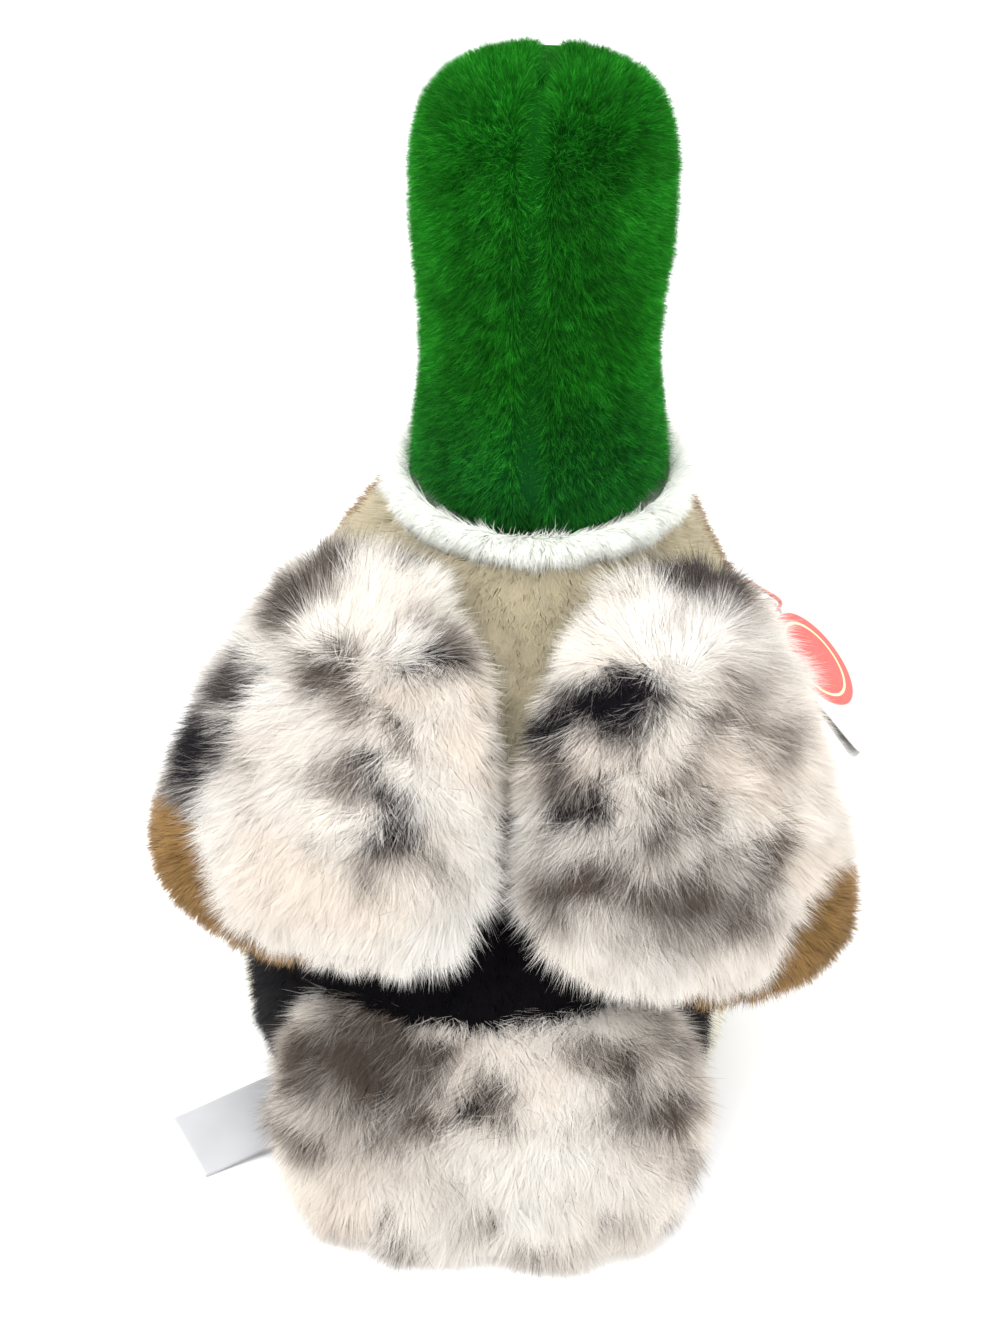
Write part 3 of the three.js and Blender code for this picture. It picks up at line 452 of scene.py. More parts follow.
def drift(points, size, salt):
    """Smooth noise from -1 to 1: hashed numbers at the corners of a lattice, blended across each
    cell by eased weights."""
    place = points / size
    base = np.floor(place)
    ease = (place - base) ** 2 * (3 - 2 * (place - base))
    total = 0
    for step in np.ndindex(2, 2, 2):
        weight = np.prod(np.where(step, ease, 1 - ease), axis=-1)
        total = total + weight * hashed(base + np.array(step), salt)
    return 2 * total - 1


def spread(cell, salt):
    """Even numbers from -1 to 1 that depend on a lattice cell and a salt."""
    return 2 * hashed(cell, salt) - 1


# length: of a strand. width: at its root. stand: depth from the pile's outside to its roots.
# set_back: how far roots are drawn back against the nap. rim: how much shorter strands are where
# the surface faces down the nap. lean: from the surface's normal, in degrees. tuft: distance
# between tufts. pull: how far tips gather towards their tuft's middle. yaw: turn of a tuft's nap,
# in degrees. stray: how far strands wander. uneven: spread of their lengths.
HEAD_PILE = dict(
    length=0.0074, width=0.0003, stand=0.0054, set_back=0.001, rim=0.0, lean=23, tuft=0.0024,
    pull=0.3, yaw=60, stray=0.2, uneven=0.14,
)
SHORT_PILE = dict(
    length=0.0072, width=0.00036, stand=0.0052, set_back=0.002, rim=0.1, lean=40, tuft=0.003,
    pull=0.2, yaw=25, stray=0.14, uneven=0.15,
)
LONG_PILE = dict(
    length=0.0125, width=0.00027, stand=0.0066, set_back=0.007, rim=0.1, lean=57, tuft=0.0052,
    pull=0.4, yaw=32, stray=0.1, uneven=0.36,
)
# Every pile's spread of leans, share of a single strand in its turn and its length beside its
# tuft's, size of the nap's slow turns, and limits of a strand's length and width
SPLAY = np.radians(9)
STRAND_YAW = 0.6
STRAND_UNEVEN = 0.7
NAP_DRIFT = 0.02
SHORTEST, LONGEST = 0.35, 1.6
NARROWEST, WIDEST = 0.75, 1.25
# How far a strand's flat side turns, and what its shading normal takes from the surface's normal,
# from its place in its tuft, from its straying and from its own direction
SIDE_TURN = 0.45
TILT_NORMAL, TILT_TUFT, TILT_STRAY, TILT_HEADING = 2.0, 0.3, 0.4, 0.1

# Depth of the short piles' skins below their outside, depth of the long pile's, and a skin's wall
SKIN_DEPTH = 0.0026
LONG_SKIN_DEPTH = 0.004
WALL = 0.0006
# How much longer or shorter a wing cover's strands are at its rim
CORNER_LONGER, TOP_LONGER = 1.1, 0.6
SPINE_SHORTER, LOW_SHORTER, RIM_SHORTER = 0.45, 0.65, 0.12
# How full the marbled wing covers and tail are, as passed to their pieces
PAD_FILL = 0.7

# How far the long pile's nap leads outwards, and off the fringe's partings
NAP_OUT = 0.35
NAP_OFF_PARTING = 0.6

# Grids that strands are dealt over and that areas are measured on
SCATTER_CELLS = 160
AREA_CELLS = 120

# Shares of the map across that skins and strands take, a strand's corners in its cell, and how
# far up a strand its corners are
SKIN_MAP = 0.24
STRAND_MAP = 0.75
STRAND_CORNERS = np.array([[0.15, 0.1], [0.85, 0.1], [0.5, 0.9]])
STRAND_RISE = np.array([0.0, 0.0, 1.0])


def cell_areas(place, cells):
    """Areas of a surface's grid cells, by the cross product of two sides: those that meet at the
    cell's first corner, and those that meet at its last."""
    edge = np.linspace(0, 1, cells + 1)
    corners = place(*np.meshgrid(edge, edge, indexing="ij"))
    first, over = corners[:-1, :-1], corners[1:, :-1]
    beside, last = corners[:-1, 1:], corners[1:, 1:]
    at_first = np.linalg.norm(np.cross(over - first, beside - first), axis=-1)
    at_last = np.linalg.norm(np.cross(last - beside, last - over), axis=-1)
    return at_first, at_last


def scatter(rng, place, count):
    """Even random places on a surface: the unit square is cut in cells, strands are dealt to cells
    by area, and each falls anywhere in its cell."""
    at_first, at_last = cell_areas(place, SCATTER_CELLS)
    area = at_first + at_last
    share = np.cumsum(area.ravel()) / area.sum()
    dealt = np.searchsorted(share, (np.arange(count) + rng.random(count)) / count)
    dealt = np.minimum(dealt, SCATTER_CELLS**2 - 1)
    i, j = np.divmod(dealt, SCATTER_CELLS)
    return (i + rng.random(count)) / SCATTER_CELLS, (j + rng.random(count)) / SCATTER_CELLS


def grow(rng, point, normal, nap, pile, scale):
    """Flat strands from roots on a skin, each a triangle of two root corners and a tip. A strand
    leans from the normal towards the nap, and its tip is drawn to its tuft's middle. Its root lies
    across it, turned a little at random. Returns the points as (strand, corner, 3), their shading
    normals alike, and an even number for each strand's tuft."""
    count = len(point)
    middle, home = tufts(point, pile["tuft"])
    facing = np.clip((unit(nap) * normal).sum(-1), 0, 1)
    nap = unit(nap - (nap * normal).sum(-1, keepdims=True) * normal)
    yaw = spread(home, 5) + STRAND_YAW * rng.standard_normal(count) + drift(point, NAP_DRIFT, 7)
    yaw = np.radians(pile["yaw"]) * yaw[:, None]
    across = nap * np.cos(yaw) + np.cross(normal, nap) * np.sin(yaw)
    uneven = 1 + pile["uneven"] * (STRAND_UNEVEN * rng.standard_normal(count) + spread(home, 6))
    length = pile["length"] * np.clip(uneven, SHORTEST, LONGEST) * scale
    length = length * (1 - pile["rim"] * facing)
    lean = np.radians(pile["lean"]) + SPLAY * (spread(home, 8) + rng.standard_normal(count))
    stray = rng.standard_normal((count, 3)) * pile["stray"]
    heading = unit(normal * np.cos(lean)[:, None] + across * np.sin(lean)[:, None] + stray)
    gather = middle - point
    gather -= (gather * normal).sum(-1, keepdims=True) * normal
    root = point - normal * pile["stand"] - nap * pile["set_back"]
    tip = root + heading * length[:, None] + gather * pile["pull"]
    side = unit(np.cross(heading, normal + SIDE_TURN * rng.standard_normal((count, 3))))
    half = pile["width"] / 2 * (NARROWEST + (WIDEST - NARROWEST) * rng.random((count, 1)))
    points = np.stack([root - side * half, root + side * half, tip], 1)
    points[..., 2] = np.maximum(points[..., 2], FLOOR_GAP)
    tilt = unit(normal * TILT_NORMAL - gather / pile["tuft"] * TILT_TUFT + stray * TILT_STRAY)
    tilt += heading * TILT_HEADING
    return points, np.repeat(tilt[:, None], 3, 1), hashed(home, 9)


def strand_map(count):
    """A cell of the map's right part for each strand, with its root at the foot."""
    across = int(np.ceil(np.sqrt(count * STRAND_MAP)))
    down = int(np.ceil(count / across))
    i = np.arange(count)
    left = 1 - STRAND_MAP + STRAND_MAP * (i % across) / across
    corner = np.stack([left, (i // across) / down], -1)
    return (corner[:, None] + STRAND_CORNERS * [STRAND_MAP / across, 1 / down]).reshape(-1, 2)


def skin_map(count):
    """A place in the map's left part for each point of a skin."""
    side = int(np.ceil(np.sqrt(count)))
    i = np.arange(count)
    return np.stack([SKIN_MAP * (i % side + 0.5) / side, (i // side + 0.5) / side], -1)


class Cloth:
    """Collects the stretches of skin and the pile of one panel, then makes it one piece."""

    def __init__(self, name, seed):
        self.name = name
        self.rng = np.random.default_rng(seed)
        self.skins, self.hairs = [], []

    def skin(self, place, rows, columns, depth, wrap=False, shape=None, marks=None):
        """A stretch of skin: the surface's grid moved in by a depth, and a wall thick.
        shape(points, inward) moves its points, and marks(u, v, point) gives it the pile's marks."""
        over = np.linspace(0, 1, columns + wrap)[:columns]
        v, u = np.meshgrid(np.linspace(0, 1, rows), over, indexing="ij")
        point, normal, _ = surface_at(place, u, v)
        outer, inner = point - normal * depth, point - normal * (depth + WALL)
        if shape is not None:
            outer, inner = shape(outer, 0.0), shape(inner, WALL)
        outer[..., 2] = np.maximum(outer[..., 2], FLOOR_GAP)
        inner[..., 2] = np.maximum(inner[..., 2], FLOOR_GAP + WALL)
        root = point.reshape(-1, 3)
        facts = {"root": root, **(marks(u.ravel(), v.ravel(), root) if marks else {})}
        both = {key: np.concatenate([values, values]) for key, values in facts.items()}
        self.skins.append((*slab(outer, inner, wrap), both))

    def pile(self, place, density, pile, nap, keep=None, scale=None, marks=None):
        """Pile over a surface: so many strands to a square metre, leaning to nap(point, along_v).
        keep(point) says which roots hold a strand, scale(u, v, point) lengthens or shortens it, and
        marks(u, v, point) gives more numbers for each strand."""
        count = int(density * cell_areas(place, AREA_CELLS)[0].sum())
        u, v = scatter(self.rng, place, count)
        point, normal, along_v = surface_at(place, u, v)
        if keep is not None:
            held = keep(point)
            u, v, point, normal, along_v = (a[held] for a in (u, v, point, normal, along_v))
        longer = 1.0 if scale is None else scale(u, v, point)
        way = nap(point, along_v)
        points, normals, tuft = grow(self.rng, point, normal, way, pile, longer)
        facts = {
            "root": np.repeat(point, 3, 0),
            "rise": np.tile(STRAND_RISE, len(point)),
            "shade": np.repeat(self.rng.random(len(point)), 3),
            "tuft": np.repeat(tuft, 3),
        }
        for key, values in (marks(u, v, point) if marks else {}).items():
            facts[key] = np.repeat(values, 3)
        self.hairs.append((points.reshape(-1, 3), normals.reshape(-1, 3), facts))

    def piece(self, body, replaced, material, slot, fill=0.6):
        """One object of all the stretches, with a map in cells. Where a skin has no numbers of its
        own, it has a middling shade and tuft, no marks, and the rise of a root, so that it takes
        the roots' painted shade and the gaps between strands read as shadow."""
        starts = np.cumsum([0] + [len(points) for points, _, _ in self.skins])
        skin = np.concatenate([points for points, _, _ in self.skins])
        quads = np.concatenate([quads + start for (_, quads, _), start in zip(self.skins, starts)])
        hair = np.concatenate([points for points, _, _ in self.hairs])
        strands = np.arange(len(hair)).reshape(-1, 3) + len(skin)
        points = np.concatenate([skin, hair])
        facts = {}
        for key in self.hairs[0][2]:
            # A skin's rise is 0, so it takes the roots' painted shade.
            blank = 0.5 if key in ("shade", "tuft") else 0.0
            own = [numbers.get(key, np.full(len(p), blank)) for p, _, numbers in self.skins]
            facts[key] = np.concatenate(own + [numbers[key] for _, _, numbers in self.hairs])
        corner = [skin[quads[:, k]] for k in range(4)]
        across = np.cross(corner[2] - corner[0], corner[3] - corner[1])
        facing = np.zeros_like(skin)
        for k in range(4):
            np.add.at(facing, quads[:, k], across)
        normals = np.concatenate([facing] + [normals for _, normals, _ in self.hairs])
        uv = np.concatenate([skin_map(len(skin)), strand_map(len(strands))])
        made = new_piece(self.name, points, [quads, strands], normals, facts, uv)
        settle(made, material, replaced, body, slot)


# Materials


class Nodes:
    """Adds nodes to a new material, linked as they are named."""

    def __init__(self, name):
        self.material = bpy.data.materials.new(name)
        self.material.use_nodes = True
        self.tree = self.material.node_tree
        self.tree.nodes.clear()
        self.output = self.tree.nodes.new("ShaderNodeOutputMaterial")

    def fill(self, socket, value):
        """Sets a socket, or links it from another node's output."""
        if isinstance(value, bpy.types.NodeSocket):
            self.tree.links.new(value, socket)
        else:
            socket.default_value = value

    def add(self, kind, inputs=None, **settings):
        """A node with its settings, and its inputs set or linked."""
        node = self.tree.nodes.new("ShaderNode" + kind)
        for key, value in settings.items():
            setattr(node, key, value)
        for key, value in (inputs or {}).items():
            self.fill(node.inputs[key], value)
        return node

    def place(self):
        """The place on the object."""
        return self.add("TexCoord").outputs["Object"]

    def attribute(self, name, output="Fac"):
        """The piece's own numbers of that name."""
        return self.add("Attribute", attribute_name=name).outputs[output]

    def noise(self, vector, scale, detail=2.0, roughness=0.5, distortion=0.0):
        """A noise texture's strength over a vector."""
        return self.add("TexNoise", {
            "Vector": vector, "Scale": scale, "Detail": detail, "Roughness": roughness,
            "Distortion": distortion,
        }).outputs["Fac"]

    def wave(self, vector, scale, distortion, direction):
        """A wave texture's strength over a vector."""
        inputs = {"Vector": vector, "Scale": scale, "Distortion": distortion}
        return self.add("TexWave", inputs, bands_direction=direction).outputs["Fac"]

    def span(self, value, low, high, to_low=0.0, to_high=1.0):
        """A value from low to high brought to another span, and held there."""
        return self.add("MapRange", {
            "Value": value, "From Min": low, "From Max": high, "To Min": to_low, "To Max": to_high,
        }).outputs["Result"]

    def mix(self, factor, first, second):
        """Two colours mixed by a factor."""
        node = self.add("Mix", data_type="RGBA")
        for index, value in ((0, factor), (6, first), (7, second)):
            self.fill(node.inputs[index], value)
        return node.outputs[2]

    def sum(self, first, second, operation="ADD"):
        """Two numbers added, multiplied or otherwise joined."""
        return self.add("Math", {0: first, 1: second}, operation=operation).outputs[0]

    def product(self, *values):
        """Numbers multiplied."""
        total = values[0]
        for value in values[1:]:
            total = self.sum(total, value, "MULTIPLY")
        return total

    def shaded(self, colour, value):
        """A colour made lighter or darker by a value."""
        return self.add("HueSaturation", {"Value": value, "Color": colour}).outputs[0]

    def bump(self, height, strength, distance):
        """Normals tilted by a height."""
        inputs = {"Height": height, "Strength": strength, "Distance": distance}
        return self.add("Bump", inputs).outputs[0]

    def surfaced(self, shader):
        """The material, with a shader as its surface."""
        self.tree.links.new(shader.outputs[0], self.output.inputs["Surface"])
        return self.material


def pile_shader(nodes, colour, through=0.35, sheen=0.12, gleam=(1.0, 1.0, 1.0)):
    """Pile: a rough cloth shader with a sheen that gleams in its own colour, mixed with light that
    comes through the strands."""
    cloth = nodes.add("BsdfPrincipled", {
        "Base Color": colour, "Roughness": 0.9, "Specular IOR Level": 0.08,
        "Sheen Weight": sheen, "Sheen Roughness": 0.5, "Sheen Tint": (*gleam, 1.0),
    })
    lit = nodes.add("BsdfTranslucent", {"Color": colour})
    mixed = nodes.add("MixShader", {0: through, 1: cloth.outputs[0], 2: lit.outputs[0]})
    return nodes.surfaced(mixed)


def plain_pile(name, colour, deep=0.6, vary=0.25, tip=None, low=None, **shader):
    """One-colour pile: darker at the roots and lighter at the tips, a painted shade of the pile
    over its own roots; uneven from strand to strand and from tuft to tuft, and slowly over the
    panel. tip is the colour of the palest tips, a painted highlight of light through them, and low
    is two heights and the colour that the pile turns to between them."""
    nodes = Nodes(name)
    root = nodes.attribute("root", "Vector")
    rise, shade = nodes.attribute("rise"), nodes.attribute("shade")
    slow = nodes.noise(root, 42.0, 4.0, 0.6)
    # Painted shade: the level is lowest at the roots, where the pile shades itself, and highest at
    # the tips; the other factors are random tone.
    level = nodes.product(
        nodes.span(rise, 0.0, 1.0, deep, 1.08),
        nodes.span(shade, 0.0, 1.0, 1 - vary, 1 + vary),
        nodes.span(nodes.attribute("tuft"), 0.0, 1.0, 1 - vary * 0.6, 1 + vary * 0.6),
        nodes.span(slow, 0.3, 0.7, 1 - vary * 0.7, 1 + vary * 0.7),
    )
    base = (*colour, 1.0)
    if low:
        up = nodes.add("SeparateXYZ", {"Vector": root}).outputs["Z"]
        base = nodes.mix(nodes.span(up, low[0], low[1]), (*low[2], 1.0), base)
    # Painted highlight: the palest tips turn to the tip colour, standing for light that shines
    # through them.
    if tip:
        pale = nodes.product(nodes.span(rise, 0.35, 1.0), nodes.span(shade, 0.45, 1.0))
        base = nodes.mix(pale, base, (*tip, 1.0))
    return pile_shader(nodes, nodes.shaded(base, level), **shader)


def scaled(colour, *factors):
    """A colour with its three parts multiplied, as a socket takes it."""
    return (*np.multiply(colour, factors).tolist(), 1.0)


def marbled_pile(name, look):
    """Cream pile with grey-brown smoke and charcoal: the strands carry how strong each is at their
    roots, and noise on the roots, drawn out down the nap, breaks the edges up. The smoke is palest
    and warmest where it is thin, and tips are paler than roots, a faint painted shade over the
    roots."""
    nodes = Nodes(name)
    cream, smoke, coal = map(tuple, (look.marble_cream, look.marble_smoke, look.marble_coal))
    root = nodes.attribute("root", "Vector")
    rise = nodes.attribute("rise")
    drawn = nodes.add("Mapping", {"Vector": root, "Scale": (1.0, 1.0, 0.4)}).outputs[0]
    broken = nodes.span(nodes.noise(drawn, 210.0, 4.0, 0.6, 0.5), 0.25, 0.75, -0.24, 0.24)
    ragged = nodes.sum(broken, nodes.span(nodes.attribute("shade"), 0.0, 1.0, -0.1, 0.1))
    ragged = nodes.sum(ragged, nodes.span(rise, 0.5, 1.0, 0.0, -0.08))
    smoky = nodes.span(nodes.sum(nodes.attribute("smoke"), ragged), 0.12, 0.72)
    sooty = nodes.span(nodes.sum(nodes.attribute("coal"), ragged), 0.16, 0.56)
    warm = nodes.span(nodes.noise(root, 30.0, 2.0), 0.4, 0.7)
    base = nodes.mix(warm, (*cream, 1.0), scaled(cream, 1, 0.95, 0.9))
    fine = nodes.span(nodes.noise(drawn, 420.0, 3.0, 0.6), 0.3, 0.7)
    grey = nodes.mix(fine, (*smoke, 1.0), scaled(smoke, 0.5, 0.48, 0.48))
    haze = nodes.mix(nodes.span(smoky, 0.1, 0.8), scaled(smoke, 2.6, 2.5, 2.35), grey)
    colour = nodes.mix(sooty, nodes.mix(smoky, base, haze), (*coal, 1.0))
    # Faint painted shade: the roots are a little darker than the tips, where the pile shades them.
    tinted = nodes.shaded(colour, nodes.span(rise, 0.0, 1.0, 0.97, 1.03))
    return pile_shader(nodes, tinted, through=0.5)


def felt(name, colour, scale=900.0):
    """Felted velour: a matted surface with short soft hairs, from fine noise in colour and bump;
    the colour is darker in the bump's hollows, a painted shade.
    """
    nodes = Nodes(name)
    place = nodes.place()
    fine, slow = nodes.noise(place, scale, 4.0, 0.65), nodes.noise(place, 60.0, 2.0)
    # Painted shade: the colour is darkest where the bump is lowest, in the felt's hollows; the slow
    # clouds are random tone.
    matted, clouded = nodes.span(fine, 0.3, 0.7, 0.62, 1.12), nodes.span(slow, 0.3, 0.7, 0.9, 1.06)
    tinted = nodes.shaded((*colour, 1.0), nodes.product(matted, clouded))
    return nodes.surfaced(nodes.add("BsdfPrincipled", {
        "Base Color": tinted, "Roughness": 0.95, "Specular IOR Level": 0.1, "Sheen Weight": 0.5,
        "Sheen Roughness": 0.5, "Normal": nodes.bump(fine, 0.5, 0.0006),
    }))


def solid(name, colour, roughness, speck=0.04, scale=400.0):
    """A smooth material with faint mottling in its colour and roughness."""
    nodes = Nodes(name)
    fine = nodes.noise(nodes.place(), scale, 3.0)
    gloss = nodes.span(fine, 0.3, 0.7, roughness * 0.9, min(roughness * 1.1, 1.0))
    tinted = nodes.shaded((*colour, 1.0), nodes.span(fine, 0.3, 0.7, 1 - speck, 1 + speck))
    return nodes.surfaced(nodes.add("BsdfPrincipled", {"Base Color": tinted, "Roughness": gloss}))


# Naps


def down_nap(point, along_v):
    """Pile brushed down."""
    return np.broadcast_to([0.0, 0.0, -1.0], point.shape)


def along_nap(point, along_v):
    """Pile brushed along the panel's second direction."""
    return along_v


# Body


def body_stretch(low, high, from_angle, to_angle):
    """A stretch of the body's outside between two heights, and round from one angle to a lesser
    one, each an angle or a function of the height."""

    def place(u, v):
        height = low + (high - low) * np.clip(v, 0, 1)
        start, stop = (a(height) if callable(a) else a for a in (from_angle, to_angle))
        return body_point(height, start + (stop - start) * u)

    return place


def rump_side(height):
    """The angle round to the rump's left seam at a height."""
    return seam_angle(height, RUMP_SEAM_Y)


def breast_side(height):
    """The angle round to the breast's left seam at a height."""
    return seam_angle(height, BREAST_SEAM_Y)


def right(side):
    """The right side's seam from the left side's: a full turn less its angle."""
    return lambda height: TURN - side(height)


def seat_disc(u, v):
    """The seat: the body's lowest ring drawn in to its middle."""
    ring = body_point(np.zeros_like(u), -u * TURN)
    _, _, back, front, aside = BODY_ROWS[0]
    middle = np.array([aside, (back - front) / 2, 0.0])
    return ring + (middle - ring) * np.clip(v, 0, 0.98)[..., None]


class DRAKE_OT_body(bpy.types.Operator):
    """Back, rump, breast and belly panels of pile, on the body's smooth outside."""

    bl_idname = "drake.body"
    bl_label = "Body Panels"

    # Each panel's painted shade at the roots, and its random tone.
    FINISH = {"rump": dict(deep=0.7, vary=0.35), "back": dict(deep=0.85, vary=0.13, through=0.5)}
    THINNED = {"belly": 0.6, "breast": 0.6}

    def execute(self, context):
        """Grows each panel between its seams. The rump's and the breast's seams are upright
        planes."""
        look, yarn = context.scene.drake_colours, context.scene.drake_pile
        panels = [
            ("back", 11, look.taupe, "taupe_pile", [
                body_stretch(RUMP_TOP_Z, BODY_HEIGHT, breast_side, lambda h: -breast_side(h)),
            ]),
            ("rump", 12, look.black, "black_pile", [
                body_stretch(0, RUMP_TOP_Z, rump_side, lambda h: -rump_side(h)),
            ]),
            ("breast", 13, look.camel, "camel_pile", [
                body_stretch(BREAST_HEM_Z, BODY_HEIGHT, right(breast_side), breast_side),
            ]),
            ("belly", 14, look.cream, "cream_pile", [
                body_stretch(0, BREAST_HEM_Z, right(rump_side), rump_side),
                body_stretch(BREAST_HEM_Z, RUMP_TOP_Z, breast_side, rump_side),
                body_stretch(BREAST_HEM_Z, RUMP_TOP_Z, right(rump_side), right(breast_side)),
            ]),
        ]
        for name, seed, colour, slot, stretches in panels:
            cloth = Cloth(f"{name}_plush", seed)
            density = yarn.body_density * self.THINNED.get(name, 1.0)
            for place in stretches:
                cloth.skin(place, 40, 80, SKIN_DEPTH)
                cloth.pile(place, density, SHORT_PILE, down_nap)
            if name == "belly":
                cloth.skin(seat_disc, 12, 72, 0.0, wrap=True)
            made = plain_pile(slot, tuple(colour), **self.FINISH.get(name, {}))
            cloth.piece("trunk", f"{name}_panel", made, slot)
        return {"FINISHED"}


# Neck ring


def ring_roll(u, v):
    """The outside half of the neck ring's roll: a half circle from its top down, carried round."""
    turn = (0.5 - np.clip(v, 0, 1)) * np.pi
    roll = RING_HEIGHT / 2
    radius = RING_RADIUS - roll + roll * np.cos(turn)
    height = NECK_PIVOT[2] - RING_DROP - roll + roll * np.sin(turn)
    x, y = radius * np.sin(u * TURN), NECK_PIVOT[1] + radius * np.cos(u * TURN)
    return np.stack([x, y, height], -1)


class DRAKE_OT_neck_ring(bpy.types.Operator):
    """White fluffy band that the neck turns in."""

    bl_idname = "drake.neck_ring"
    bl_label = "Neck Ring"

    def execute(self, context):
        """Pile stands out all round the roll and hangs a little."""
        look, yarn = context.scene.drake_colours, context.scene.drake_pile
        cloth = Cloth("neck_ring_plush", 21)
        pile = dict(SHORT_PILE, stand=0.003, set_back=0.001, lean=51, uneven=0.2)
        # Faint painted shade at the white pile's roots.
        white = plain_pile("white_pile", tuple(look.white), deep=0.97, vary=0.04, through=0.5)
        cloth.skin(ring_roll, 14, 120, 0.002, wrap=True)
        cloth.pile(ring_roll, yarn.ring_density, pile, down_nap)
        cloth.piece("collar", "neck_ring", white, "white_pile")
        return {"FINISHED"}


# Head


HEAD_ROWS = np.array([
    *[[-low, *[np.sqrt(NECK_BALL**2 - low**2)] * 3, 0.0] for low in (0.02, 0.01, 0.0)],
    *[
        [high * HEAD_HEIGHT, wide * HEAD_HALF_WIDTH, back * HEAD_BACK, front * HEAD_FRONT, 0.0]
        for high, wide, back, front in HEAD_SHARES
    ],
])
# Half the width of the middle seam's groove. Over the crown it also dips downwards: from what share
# of the height, over what share, and how much more
GROOVE_HALF = 0.0032
CROWN_FROM, CROWN_SPAN, CROWN_DIP = 0.8, 0.2, 1.5
# How far pile grows down inside the neck ring, and how much longer it is there
HEAD_IN_RING = 0.012
IN_RING_LONGER = 0.45
# Pile is shorter by this share just above the ring, and as far up as this
HEM_SHORTER, HEM_HEIGHT = 0.2, 0.04
# Half sizes of the patch under the bill without pile, and the eye's patch as a share of the eye
BILL_PATCH_HALF, BILL_PATCH_RISE, EYE_PATCH_SHARE = 0.015, 0.008, 1.05
# Pile is shorter on the face and round the eyes: over how far, and its least share
FACE_FADE, FACE_LEAST = 0.03, 0.45
EYE_FADE, EYE_LEAST = 0.016, 0.4


def head_half(side, groove):
    """One half of the head, from the seam down its front round to the seam down its back, and from
    the neck up. Near both seams the surface dips by the groove, as a bell curve of the distance."""

    def place(u, v):
        angle = np.pi * (1 - u) if side > 0 else -np.pi * u
        points = section(along(HEAD_ROWS, np.clip(v, 0, 1)), angle, 2.0)
        dip = groove * np.exp(-((points[..., 0] / GROOVE_HALF) ** 2))
        outward = unit(points * [1.0, 1.0, 0.0] + [0, 0, 1e-9]) * np.array([0.0, 1.0, 0.0])
        points = points - outward * dip[..., None]
        above = points[..., 2] - CROWN_FROM * HEAD_HEIGHT
        points[..., 2] -= dip * np.clip(above / (CROWN_SPAN * HEAD_HEIGHT), 0, 1) * CROWN_DIP
        return points + NECK_PIVOT

    return place


def head_nap(point, along_v):
    """Pile brushed down the neck, and away from the face on the head's front."""
    low = point - NECK_PIVOT
    back = np.clip(low[:, 2] / HEAD_HEIGHT * 1.4 - 0.4, 0, 1)
    way = np.zeros_like(point)
    way[:, 1] = back * 0.8
    way[:, 2] = -1.0
    return way


class DRAKE_OT_head(bpy.types.Operator):
    """Two green halves of the head and neck, joined by a seam down the middle."""

    bl_idname = "drake.head"
    bl_label = "Head"

    def execute(self, context):
        """Pile on both halves, but not where the bill and the eyes are or down in the neck ring."""
        look, yarn = context.scene.drake_colours, context.scene.drake_pile
        sizes = context.scene.drake_sizes
        # The head's pile: strong painted shade at the roots, and a painted highlight of lime at the
        # tips.
        material = plain_pile(
            "green_pile", tuple(look.green), deep=0.45, vary=0.55, tip=tuple(look.lime), sheen=0.3,
            gleam=(0.12, 1.0, 0.1), through=0.5,
            low=(NECK_PIVOT[2] - 0.01, NECK_PIVOT[2] + 0.035, (0.004, 0.1, 0.022)),
        )
        bill = np.array(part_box("bill_upper")).mean(0)
        eyes = [np.array(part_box(f"eye_{s}")).mean(0) for s in ("left", "right")]

        def from_eye(point):
            return np.min([np.linalg.norm(point - eye, axis=1) for eye in eyes], 0)

        def keep(point):
            above_ring = point[:, 2] > NECK_PIVOT[2] - HEAD_IN_RING
            beside, ahead = np.abs(point[:, 0]), point[:, 1] < NECK_PIVOT[1]
            level = np.abs(point[:, 2] - bill[2]) < BILL_PATCH_RISE
            on_bill = (beside < BILL_PATCH_HALF) & level & ahead
            on_eye = from_eye(point) < sizes.eye_radius * EYE_PATCH_SHARE
            return above_ring & ~on_bill & ~on_eye

        def scale(u, v, point):
            behind_face = point[:, 1] - (NECK_PIVOT[1] - HEAD_FRONT)
            face = np.clip(behind_face / FACE_FADE, FACE_LEAST, 1)
            up = point[:, 2] - NECK_PIVOT[2]
            hem = 1 - HEM_SHORTER * np.clip(1 - up / HEM_HEIGHT, 0, 1)
            hem = hem + IN_RING_LONGER * np.clip(1 - (up + HEAD_IN_RING) / 0.01, 0, 1)
            return face * hem * np.clip(from_eye(point) / EYE_FADE, EYE_LEAST, 1)

        for side, name in ((1, "left"), (-1, "right")):
            cloth = Cloth(f"head_plush_{name}", 31 + side)
            place = head_half(side, sizes.seam_groove)
            cloth.skin(head_half(side, 0.0), 70, 60, SKIN_DEPTH)
            cloth.pile(place, yarn.head_density, HEAD_PILE, head_nap, keep, scale)
            cloth.piece("head", f"head_panel_{name}", material, "green_pile")
        return {"FINISHED"}


